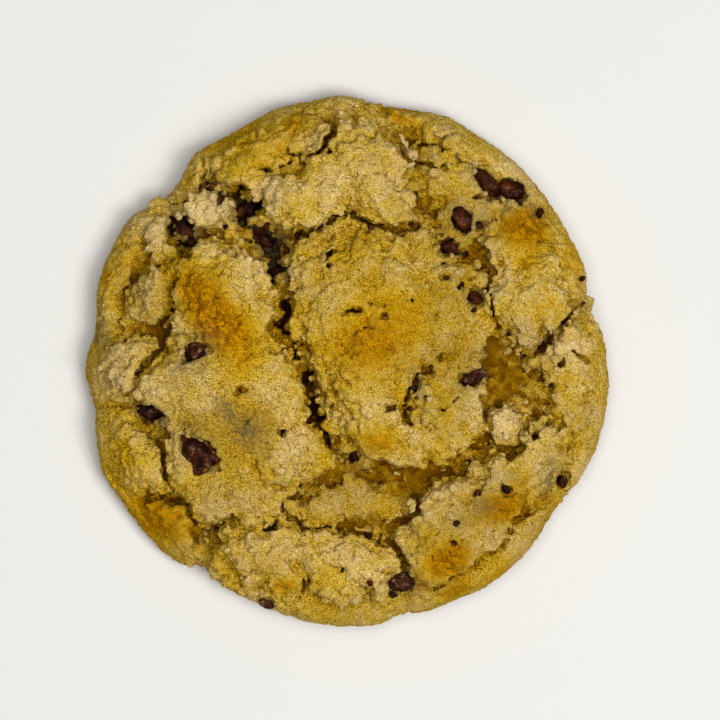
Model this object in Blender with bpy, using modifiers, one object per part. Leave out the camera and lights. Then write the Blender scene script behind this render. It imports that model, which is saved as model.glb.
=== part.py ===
"""A thick, craggy chocolate chip cookie: one body of dough with chocolate chips set in it.

The model is in metres with +Z up. Its origin is the middle of the flat underside, and +Y is
the side with the tall broken flap. Plan sizes and heights are written in millimetres and
turned into metres by MM.

The dough baked into a dome whose top broke into plates. Each plate is an outline seen from
above with its own lift over the dome, and the brown floor of the cracks lies lower between
the plates.
"""

import math

import bmesh
import bpy
import numpy as np
from mathutils import Euler, Matrix, Vector

MM = 0.001

# Driving dimensions of the dough
MEAN_RADIUS = 50.9          # from the middle to the rim, as the mean all round
CROWN = 22.3                # height of the unbroken dome in the middle
WIDEST_HEIGHT = 4.0         # height at which the rim is widest
DOME_POWER = 4.0            # how square the dome's shoulder is
SLACK_POWER = 3.1           # the same on the slacker, more sloping side
SLACK_ANGLE = 292.0         # direction of that side, degrees from +X
SLACK_SPREAD = 42.0         # how far round it reaches, degrees
FOOT = 3.2                  # how far the underside's edge lies inside the widest line
CRACK_DEPTH = 5.2           # floor of the cracks under the dome
CRACK_FADE = (0.98, 0.84)   # share of the radius over which cracks reach full depth
WALL_SLOPE = 3.0            # rise over run of a plate's broken edge

# The mesh: cells over the top in X and Y, and rows down the side
TOP_CELLS = 42
SIDE_ROWS = 6
TOP_REACH = 0.94            # share of the radius that the top's cells cover
UPPER_SHARE = 0.62          # share of the side rows above the widest line

# Chips
CHIP_GAP = 0.3              # clearance between a chip and its pocket
CHIP_STEPS = 10             # facets round a chip

# The rim isn't round: (direction in degrees, half width in degrees, millimetres out)
RIM_LOBES = (
    (14, 6, -1.9), (28, 12, -0.7), (64, 12, 1.1), (90, 6, 0.8), (104, 6, 0.6), (122, 12, -0.7),
    (135, 7, -2.2), (160, 6, 0.5), (172, 6, -1.3), (190, 4, -1.0), (204, 6, 0.8), (217, 8, 0.7),
    (236, 4, -1.4), (245, 6, -0.7), (270, 8, 0.5), (281, 3, -1.0), (298, 10, 0.5),
    (326, 8, -0.7), (344, 8, 0.8),
)

# Broken plates: name, lift over the dome, edge rounding, outline (x, y)
PLATES = (
    ("north_flap", 3.4, 1.3, (
        (-16.2, 34.8), (-12.8, 36.9), (-8.9, 40.0), (-5.5, 40.4), (-2.8, 42.0), (-1.0, 45.6),
        (4.6, 46.9), (7.6, 45.6), (8.6, 43.0), (11.0, 40.4), (11.9, 33.4), (14.3, 30.4),
        (13.4, 27.0), (10.0, 25.7), (6.2, 26.7), (0.9, 28.4), (0.0, 30.2), (-2.8, 27.8),
        (-6.4, 27.3), (-8.8, 25.1), (-11.6, 24.9), (-13.4, 26.9), (-17.4, 28.0), (-17.2, 31.8))),
    ("north_west_crust", 1.8, 1.6, (
        (-31, 41.5), (-22, 47), (-12, 52), (-3, 52), (1.2, 48.4), (-1.6, 45.8), (-3.6, 42.6),
        (-6, 40.9), (-9.8, 40.6), (-13.2, 37.8), (-17, 35.6), (-17.8, 32.6), (-20.2, 32.2),
        (-23.3, 34.0), (-24.6, 38))),
    ("north_west_rim", 0.6, 1.8, (
        (-35, 33), (-31, 42), (-25.5, 40), (-24.3, 36.5), (-26, 33.6), (-29.5, 32.2), (-33.5, 31))),
    ("pale_crumb", 1.8, 1.8, (
        (-33.0, 29.2), (-30.3, 32.2), (-26.8, 31.9), (-24.0, 32.7), (-22.8, 30.8), (-23.4, 28.2),
        (-25.4, 25.9), (-29.0, 24.6), (-31.6, 26.6))),
    ("north_ledge", -3.2, 1.6, (
        (-5, 53), (9.5, 53), (8.6, 49.6), (5.4, 48.4), (1.5, 47.4), (-2, 49.2))),
    ("north_east_crust", 1.0, 1.8, (
        (5.6, 47.8), (7.5, 50.5), (14, 52), (24, 49), (35, 43), (44, 32), (49, 20), (47.5, 15.6),
        (44.6, 12.6), (41, 13.5), (39, 21), (38.2, 27), (35.6, 31.4), (33.8, 35), (27.5, 38.6),
        (20, 41.4), (15.4, 43.6), (12.2, 46.2), (8.8, 45.4))),
    ("north_east_rubble", -0.6, 1.5, (
        (9.4, 42.6), (12.4, 44.8), (20, 41), (27, 38.4), (33, 35), (30.4, 31.2), (30.6, 28),
        (26.8, 24.6), (21.5, 24.2), (14.4, 25.0), (15.0, 30.0), (12.4, 33.8), (11.6, 39))),
    ("east_crust", 1.5, 1.9, (
        (30.2, 30.4), (33.0, 32.0), (36.4, 30.4), (39.6, 25), (41.4, 17), (44.2, 12.8), (42, 9.2),
        (38.6, 7.6), (36.8, 4.6), (35.8, 3.0), (32.6, 3.6), (30.6, 6.0), (28.6, 8.8), (28.6, 13),
        (29.4, 16.4), (26.6, 19.6), (25.6, 22.4), (28.6, 26))),
    ("centre_slab", 0.4, 2.0, (
        (-9.6, 24.2), (-3, 27.2), (5, 27.2), (13, 23.8), (18.4, 21.8), (21, 18.4), (26.6, 16.2),
        (27.8, 12), (27, 6), (24, 3.4), (17.4, 1.2), (13.6, -1.0), (11.6, -4.6), (12.6, -8.2),
        (11.0, -12.6), (11.5, -18.6), (6.4, -18.5), (3.6, -16.8), (1.6, -13.2), (-1.6, -11.4),
        (-4.6, -10.6), (-3.8, -7.2), (-6.4, -4.2), (-5.8, -1.0), (-8.8, 1.0), (-9.4, 5.4),
        (-11.3, 8.2), (-11.8, 12.0), (-9.9, 13.6), (-11.0, 19.4))),
    ("south_centre_slab", 0.4, 1.6, (
        (13.8, -5.6), (15.6, -3.4), (19.4, -1.8), (22.8, 1.4), (25.8, 0.2), (27.0, -3.4),
        (26.4, -6.2), (28.1, -12.6), (24.4, -15.2), (12, -18.6), (11.3, -12.6))),
    ("round_lump", -0.6, 2.6, (
        (28.2, -8.8), (31.0, -6.8), (33.4, -7.8), (34.8, -11.4), (35, -14.2), (32.8, -16),
        (30.2, -15.0), (27.7, -12))),
    ("east_lumps", 0.6, 2.2, (
        (37.6, 2.6), (40.4, 5.4), (43.4, 7.3), (48.4, 9.1), (53, 6), (53, -10), (49.5, -18),
        (44.4, -17), (42.2, -13.8), (40.2, -11), (39, -8), (39.9, -4.2))),
    ("south_east_slab", 2.0, 2.0, (
        (15.4, -23.4), (18, -20.7), (21.6, -19.1), (25.6, -19.4), (26.4, -17.6), (29.8, -16.3),
        (31.8, -17.4), (34.2, -15.5), (37.2, -15.2), (38.8, -12.7), (41.0, -11.6), (41.8, -14),
        (42.4, -18.4), (42.0, -22.4), (38.4, -25.4), (33.4, -30.0), (27.3, -36.2), (25.2, -38.8),
        (17.4, -43.2), (14, -42.8), (11.8, -38.8), (8.6, -33.2), (9.2, -30.6), (13.5, -28.5),
        (14.0, -26))),
    ("south_lobe", 2.2, 2.4, (
        (-8.0, -35.6), (-4.4, -33.7), (-0.5, -32.3), (3.0, -33.3), (5.6, -35.4), (9.0, -36.0),
        (11.3, -38.3), (12.0, -41.8), (9.0, -42.2), (7.6, -40.8), (5.2, -41.6), (4.0, -43.6),
        (0, -44.2), (-4.6, -42.8), (-8.2, -41.2))),
    ("south_crumb", 1.0, 1.4, (
        (5.2, -42.2), (8.6, -42.2), (9.0, -44.6), (7.0, -47.4), (4.8, -46.4))),
    ("south_west_lobe", 2.0, 2.8, (
        (-27.4, -37), (-24.8, -33.6), (-22.4, -30.8), (-14.7, -32.1), (-10.4, -30.8), (-8.2, -32.6),
        (-8.7, -37.6), (-8.0, -42), (-10, -44.9), (-14.6, -44.6), (-20, -42.6), (-25, -41.4))),
    ("middle_ridge", -1.8, 2.2, (
        (-10.0, -27.8), (-6.0, -25.0), (-0.6, -23.2), (8, -22.2), (13.5, -22.2), (14.4, -25),
        (12.4, -28.2), (8.6, -30.2), (1.4, -30.6), (-1.0, -31.2), (-3.4, -33.0), (-6.4, -31.8),
        (-8.8, -30.0))),
    ("west_slab", 1.4, 2.0, (
        (-17.8, 22.6), (-14.4, 18.4), (-13.8, 14), (-14.4, 9.8), (-12.2, 6.4), (-10.9, 3.0),
        (-10.8, 0.2), (-8.8, -1.8), (-7.1, -2.8), (-9.9, -4.9), (-8.0, -7.4), (-5.5, -8.4),
        (-5.2, -10.2), (-7.3, -12.6), (-5.0, -15.0), (-4.6, -18), (-1.0, -19.4), (-1.2, -22.0),
        (-6, -23.4), (-10.4, -24.9), (-11.1, -29.2), (-14.7, -31.6), (-21.8, -29.5),
        (-27.4, -30.6), (-31, -24.5), (-34.4, -19.6), (-34, -12.5), (-40.9, -7.4), (-41.2, -5.4),
        (-39.3, -1.4), (-36.6, 0.4), (-34.4, 3.8), (-31.4, 6.8), (-31.0, 9.2), (-32.6, 14),
        (-30.4, 20.4), (-28.6, 23.1), (-22, 23.6))),
    ("west_upper_lump", 0.8, 2.0, (
        (-43.8, 7.5), (-42.5, 12.2), (-40.0, 16.8), (-36, 18.4), (-32.6, 17.8), (-33.2, 10.4),
        (-36, 7.8), (-41, 6.8))),
    ("north_west_lump", 0.5, 2.0, (
        (-40, 20), (-39.6, 24.6), (-37, 28.6), (-34.2, 27.6), (-33.6, 23.8), (-30.6, 20.6),
        (-32.6, 17.6), (-37.6, 17.6))),
    ("west_rim_crust", 1.0, 2.6, (
        (-40, 32.5), (-47, 25), (-51, 16), (-50, 11.4), (-45, 11.6), (-42, 16.8), (-40.2, 20.4),
        (-40, 25), (-37.3, 29), (-34.4, 29))),
    ("outer_shingle", 0.3, 1.6, (
        (-48.2, 2), (-45.6, 5.6), (-41.9, 6.0), (-42.4, 2.6), (-45.6, -5.2), (-48, -3))),
    ("inner_shingle", 0.8, 1.6, (
        (-42, 5.2), (-39.6, 6.5), (-36.8, 4.6), (-37.2, 0.4), (-39.7, -1.6), (-41.2, -5.8),
        (-45, -5.2))),
    ("west_low_lump", 0.2, 1.6, (
        (-47.6, -6.6), (-44, -6.0), (-41, -8.2), (-41.8, -10.6), (-46, -11))),
    ("south_west_lump", 1.4, 3.0, (
        (-48, -12), (-43, -11.2), (-38, -13.6), (-35, -17), (-31.4, -24), (-33, -25.2),
        (-42, -25.4), (-48, -24), (-51, -18))),
    ("toasted_lump", 1.2, 3.0, (
        (-46, -26), (-40, -26.2), (-36.4, -25.4), (-31.2, -25.9), (-28.9, -29), (-28.3, -34.4),
        (-27.7, -41), (-34, -42), (-43, -34))),
)

# Chips: x, y, radius, height, depth of the middle under the dough's surface, lean from
# upright and heading of the lean in degrees
CHIPS = (
    (27.4, 36.6, 2.4, 4.6, 1.0, 78, 60),
    (32.2, 33.0, 2.6, 3.8, 1.0, 25, 200),
    (22.8, 28.2, 2.9, 4.2, 0.9, 160, 20),
    (20.6, 21.0, 2.7, 4.0, 1.3, 60, 300),
    (24.9, 13.1, 2.5, 4.0, 1.2, 150, 90),
    (-21.4, 31.0, 2.9, 4.4, 1.2, 100, 150),
    (-32.6, 24.6, 3.1, 5.0, 1.2, 80, 240),
    (-15.6, 24.4, 3.1, 4.6, 1.2, 95, 10),
    (-28.5, 2.7, 3.3, 4.8, 1.3, 15, 45),
    (-38.0, -9.9, 3.2, 4.8, 1.2, 92, 185),
    (-28.9, -16.8, 3.6, 5.0, 1.0, 170, 120),
    (-12.4, 18.6, 2.6, 4.2, 0.2, 85, 30),
    (13.3, -3.4, 2.4, 4.0, 1.1, 70, 95),
    (25.3, -3.5, 2.7, 4.2, 1.2, 100, 330),
    (11.2, -43.6, 2.6, 4.0, 0.9, 40, 280),
    (-16.2, -46.4, 2.2, 3.6, 0.9, 85, 200),
)

DOUGH_COLOUR = (0.60, 0.40, 0.13, 1.0)
CHOCOLATE_COLOUR = (0.030, 0.012, 0.008, 1.0)


def make_material(name, colour, roughness):
    """A Principled material in one colour."""
    material = bpy.data.materials.new(name)
    material.use_nodes = True
    shader = material.node_tree.nodes["Principled BSDF"]
    shader.inputs["Base Color"].default_value = colour
    shader.inputs["Roughness"].default_value = roughness
    shader.inputs["Metallic"].default_value = 0.0
    material.diffuse_color = colour
    return material


def make_collection(name):
    """A collection linked to the scene."""
    collection = bpy.data.collections.new(name)
    bpy.context.scene.collection.children.link(collection)
    return collection


def angle_between(first, second):
    """Degrees between two directions, at most 180."""
    return np.abs((first - second + 180.0) % 360.0 - 180.0)


def rim_radius(degrees):
    """Distance from the middle to the widest line, in one direction."""
    radius = np.full(np.shape(degrees), MEAN_RADIUS)
    for direction, half_width, out in RIM_LOBES:
        radius += out * np.exp(-(angle_between(degrees, direction) / half_width) ** 2)
    return radius


def dome_power(degrees):
    """How square the shoulder is in one direction."""
    share = np.exp(-(angle_between(degrees, SLACK_ANGLE) / SLACK_SPREAD) ** 2)
    return DOME_POWER + (SLACK_POWER - DOME_POWER) * share


def outline_depth(outline, x, y):
    """Distance into an outline from its edge, negative outside it."""
    nearest = np.full(x.shape, np.inf)
    inside = np.zeros(x.shape, dtype=bool)
    for (ax, ay), (bx, by) in zip(outline, outline[1:] + outline[:1]):
        along_x, along_y = bx - ax, by - ay
        share = ((x - ax) * along_x + (y - ay) * along_y) / (along_x ** 2 + along_y ** 2)
        share = np.clip(share, 0.0, 1.0)
        gap = np.hypot(x - ax - share * along_x, y - ay - share * along_y)
        nearest = np.minimum(nearest, gap)
        if ay != by:
            crossing_x = ax + (y - ay) * along_x / along_y
            inside ^= ((ay > y) != (by > y)) & (x < crossing_x)
    return np.where(inside, nearest, -nearest)


def surface_height(x, y):
    """Height of the dough's top over the underside, at points inside the rim."""
    degrees = np.degrees(np.arctan2(y, x))
    share = np.clip(np.hypot(x, y) / rim_radius(degrees), 0.0, 1.0)
    fall = np.sqrt(1.0 - share ** dome_power(degrees))
    dome = WIDEST_HEIGHT + (CROWN - WIDEST_HEIGHT) * fall

    fade = np.clip((CRACK_FADE[0] - share) / (CRACK_FADE[0] - CRACK_FADE[1]), 0.0, 1.0)
    height = dome - CRACK_DEPTH * fade
    for _, lift, rounding, outline in PLATES:
        depth = outline_depth(outline, x, y)
        inset = 1.0 - np.clip(depth / rounding, 0.0, 1.0)
        round_off = rounding * (1.0 - np.sqrt(1.0 - inset ** 2))
        wall = WALL_SLOPE * np.clip(-depth, 0.0, None)
        height = np.maximum(height, dome + lift * fade - round_off - wall)
    return height


def gridded_cube(cuts):
    """A closed cube from -1 to 1, cut into cells along X, Y and Z."""
    form = bmesh.new()
    bmesh.ops.create_cube(form, size=2.0)
    for axis, count in enumerate(cuts):
        along = [edge for edge in form.edges
                 if abs(edge.verts[0].co[axis] - edge.verts[1].co[axis]) > 1.0]
        bmesh.ops.subdivide_edges(form, edges=along, cuts=count)
    return form


def disc_ring_and_angle(u, v):
    """The square from -1 to 1 laid on a disc, ring by ring: share of the radius and angle."""
    ring = np.maximum(np.abs(u), np.abs(v))
    sideways = np.abs(u) >= np.abs(v)
    long_side = np.where(sideways, u, v)
    short_side = np.where(sideways, v, u)
    turn = 45.0 * short_side / np.where(long_side == 0.0, 1.0, long_side)
    degrees = np.where(sideways, turn, 90.0 - turn) + np.where(long_side < 0.0, 180.0, 0.0)
    return ring, degrees


def dough_points(u, v, w):
    """Where each point of the gridded cube lies on the dough."""
    ring, degrees = disc_ring_and_angle(u, v)
    direction = np.stack((np.cos(np.radians(degrees)), np.sin(np.radians(degrees))))
    rim = rim_radius(degrees)

    # The top: spread over most of the radius, at the height of the plates and cracks
    radius = ring * TOP_REACH * rim
    height = surface_height(*(direction * radius))
    shoulder = height

    # The side: down from the shoulder to the widest line, then in under it to the floor
    down = (1.0 - w) / 2.0
    upper = np.clip(down / UPPER_SHARE, 0.0, 1.0)
    lower = np.clip((down - UPPER_SHARE) / (1.0 - UPPER_SHARE), 0.0, 1.0)
    on_side = ring > 1.0 - 1e-6
    power = dome_power(degrees)
    falling = 1.0 - (1.0 - upper) ** 2 * (1.0 - TOP_REACH ** power)
    tuck = FOOT * (1.0 - np.sqrt(1.0 - lower ** 2))
    side_radius = rim * falling ** (1.0 / power) - tuck
    side_height = np.where(lower > 0.0, WIDEST_HEIGHT * (1.0 - lower),
                           WIDEST_HEIGHT + (shoulder - WIDEST_HEIGHT) * (1.0 - upper))
    radius = np.where(on_side, side_radius, radius)
    height = np.where(on_side, side_height, height)

    # The underside is flat
    under = w < -1.0 + 1e-6
    radius = np.where(under, ring * (rim - FOOT), radius)
    height = np.where(under, 0.0, height)
    return direction[0] * radius, direction[1] * radius, height


def make_dough(collection, material):
    """The dough as one closed body, from a gridded cube."""
    form = gridded_cube((TOP_CELLS - 1, TOP_CELLS - 1, SIDE_ROWS - 1))
    grid = np.array([vert.co for vert in form.verts])
    for vert, x, y, z in zip(form.verts, *dough_points(*grid.T)):
        vert.co = (x * MM, y * MM, z * MM)
    under = [face for face in form.faces if all(vert.co.z < 1e-7 for vert in face.verts)]
    bmesh.ops.dissolve_faces(form, faces=under)
    bmesh.ops.recalc_face_normals(form, faces=form.faces)

    mesh = bpy.data.meshes.new("dough")
    form.to_mesh(mesh)
    form.free()
    mesh.materials.append(material)
    dough = bpy.data.objects.new("dough", mesh)
    collection.objects.link(dough)
    return dough


def morsel_profile(radius, height, grow):
    """Half outline of a drop-shaped chip, from its tip down to its flat base."""
    tip = height / 2 + grow
    base = -height / 2 - grow
    tall = tip - base
    wide = radius + grow
    return ((0.0, tip), (0.34 * wide, tip - 0.10 * tall), (0.74 * wide, tip - 0.50 * tall),
            (wide, base + 0.16 * tall), (0.86 * wide, base), (0.0, base))


def make_morsel(name, collection, place, radius, height, grow=0.0):
    """A chip, or its pocket when it is grown, as a turned profile."""
    profile = [(x * MM, 0.0, z * MM) for x, z in morsel_profile(radius, height, grow)]
    mesh = bpy.data.meshes.new(name)
    mesh.from_pydata(profile, [(i, i + 1) for i in range(len(profile) - 1)], [])
    morsel = bpy.data.objects.new(name, mesh)
    collection.objects.link(morsel)
    screw = morsel.modifiers.new("turn", "SCREW")
    screw.steps = CHIP_STEPS
    screw.render_steps = CHIP_STEPS
    screw.use_merge_vertices = True
    screw.merge_threshold = 0.00001
    morsel.matrix_world = place
    return morsel


def chip_place(x, y, sunk, lean, heading):
    """Where a chip's middle lies and how it is turned."""
    surface = float(surface_height(np.array([float(x)]), np.array([float(y)]))[0])
    middle = Vector((x * MM, y * MM, (surface - sunk) * MM))
    turned = Euler((0.0, math.radians(lean), math.radians(heading))).to_matrix().to_4x4()
    return Matrix.Translation(middle) @ turned


def make_chips(collection, pockets, material):
    """Every chip, each with its pocket beside it."""
    for number, (x, y, radius, height, sunk, lean, heading) in enumerate(CHIPS, start=1):
        place = chip_place(x, y, sunk, lean, heading)
        chip = make_morsel(f"chip_{number:02d}", collection, place, radius, height)
        chip.data.materials.append(material)
        pocket = make_morsel(f"pocket_{number:02d}", pockets, place, radius, height, CHIP_GAP)
        pocket.hide_render = True
        pocket.display_type = "WIRE"


def cut_pockets(dough, pockets):
    """Take the chips' pockets out of the dough."""
    cut = dough.modifiers.new("chip pockets", "BOOLEAN")
    cut.operation = "DIFFERENCE"
    cut.solver = "EXACT"
    cut.operand_type = "COLLECTION"
    cut.collection = pockets


def main():
    for old in list(bpy.data.objects):
        bpy.data.objects.remove(old, do_unlink=True)
    cookie = make_collection("cookie")
    pockets = make_collection("cutters")
    dough = make_dough(cookie, make_material("dough", DOUGH_COLOUR, 0.85))
    make_chips(cookie, pockets, make_material("chocolate", CHOCOLATE_COLOUR, 0.45))
    cut_pockets(dough, pockets)


main()
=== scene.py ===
"""The looks of a thick, craggy chocolate chip cookie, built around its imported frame.

The dough is worked out as a field of distances to its surface, on a fine grid: a dome broken
into plates, with crumbly walls between them. The field becomes two closed meshes, which meet
along the deepest cracks. The chips, bits of chip and loose crumbs are pieces of their own.
Sizes are in millimetres until a mesh is made, and then in metres. Lights, floor and camera are
in metres.
"""

import itertools
import math

import bmesh
import bpy
import numpy as np
import openvdb
from mathutils import Matrix, Vector
from mathutils.noise import noise as noise_at


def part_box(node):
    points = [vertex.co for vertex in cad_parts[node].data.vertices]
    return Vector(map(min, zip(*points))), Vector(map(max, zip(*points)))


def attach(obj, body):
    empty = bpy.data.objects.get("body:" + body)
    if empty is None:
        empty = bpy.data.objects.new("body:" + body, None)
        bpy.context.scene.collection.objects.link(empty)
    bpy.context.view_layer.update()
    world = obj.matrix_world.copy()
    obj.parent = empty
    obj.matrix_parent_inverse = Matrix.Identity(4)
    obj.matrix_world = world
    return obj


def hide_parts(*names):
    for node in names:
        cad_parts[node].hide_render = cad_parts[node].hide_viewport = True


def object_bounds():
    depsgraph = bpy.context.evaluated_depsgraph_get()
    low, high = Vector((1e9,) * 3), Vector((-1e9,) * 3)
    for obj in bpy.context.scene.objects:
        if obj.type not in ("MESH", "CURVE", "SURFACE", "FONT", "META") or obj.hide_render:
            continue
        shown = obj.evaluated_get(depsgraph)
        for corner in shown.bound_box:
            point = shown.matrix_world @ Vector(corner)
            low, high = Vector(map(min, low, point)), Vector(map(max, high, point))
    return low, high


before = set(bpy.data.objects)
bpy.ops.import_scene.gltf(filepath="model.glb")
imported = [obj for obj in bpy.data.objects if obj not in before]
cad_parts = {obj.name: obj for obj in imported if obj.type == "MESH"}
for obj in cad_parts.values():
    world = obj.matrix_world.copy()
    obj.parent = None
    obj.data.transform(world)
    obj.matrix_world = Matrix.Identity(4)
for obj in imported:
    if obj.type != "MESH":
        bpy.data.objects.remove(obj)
CAD_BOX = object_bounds()

MM = 0.001

# ---------------------------------------------------------------- sizes of the dough

CAD_TOP = CAD_BOX[1][2] / MM
MEAN_RADIUS = 50.6          # from the middle to the rim, before the crumbly relief
CROWN = CAD_TOP - 7.9       # height of the unbroken dome in the middle
WIDEST_HEIGHT = 4.0         # height at which the rim is widest
DOME_POWER = 4.0            # how square the dome's shoulder is
SLACK_POWER = 3.1           # the same on the slacker, more sloping side
SLACK_ANGLE = 292.0         # direction of that side, degrees from +X
SLACK_SPREAD = 42.0         # how far round it reaches, degrees
FOOT = 3.0                  # how far the underside's edge lies inside the widest line
GAP_DEPTH = 3.2             # floor of the gaps between plates, under the dome
BULGE = 3.0                 # how far a plate's middle rises over its edges
BULGE_REACH = 3.8           # how far in from the edge most of that rise happens
SHRINK = 0.35               # how far a plate's side stays inside its outline
CRACK_FADE = (0.98, 0.84)   # share of the radius over which cracks reach full depth
RIM_DEPTH = 0.13            # share of their depth that they keep at the rim
BASE = 1.8                  # thickness at the underside that stays whole under the cracks
CRACKED = 1.6               # depth under the dome from which a place counts as in a crack

# The rim isn't round: (direction in degrees, half width in degrees, millimetres out)
RIM_LOBES = (
    (14, 6, -1.9), (28, 12, -0.7), (64, 12, 1.1), (90, 6, 0.8), (104, 6, 0.6), (122, 12, -0.7),
    (135, 7, -2.2), (160, 6, 0.5), (172, 6, -1.3), (190, 4, -1.0), (204, 6, 0.8), (217, 8, 0.7),
    (236, 4, -1.4), (245, 6, -0.7), (270, 8, 0.5), (281, 3, -1.0), (298, 10, 0.5),
    (326, 8, -0.7), (344, 8, 0.8),
)

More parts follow.
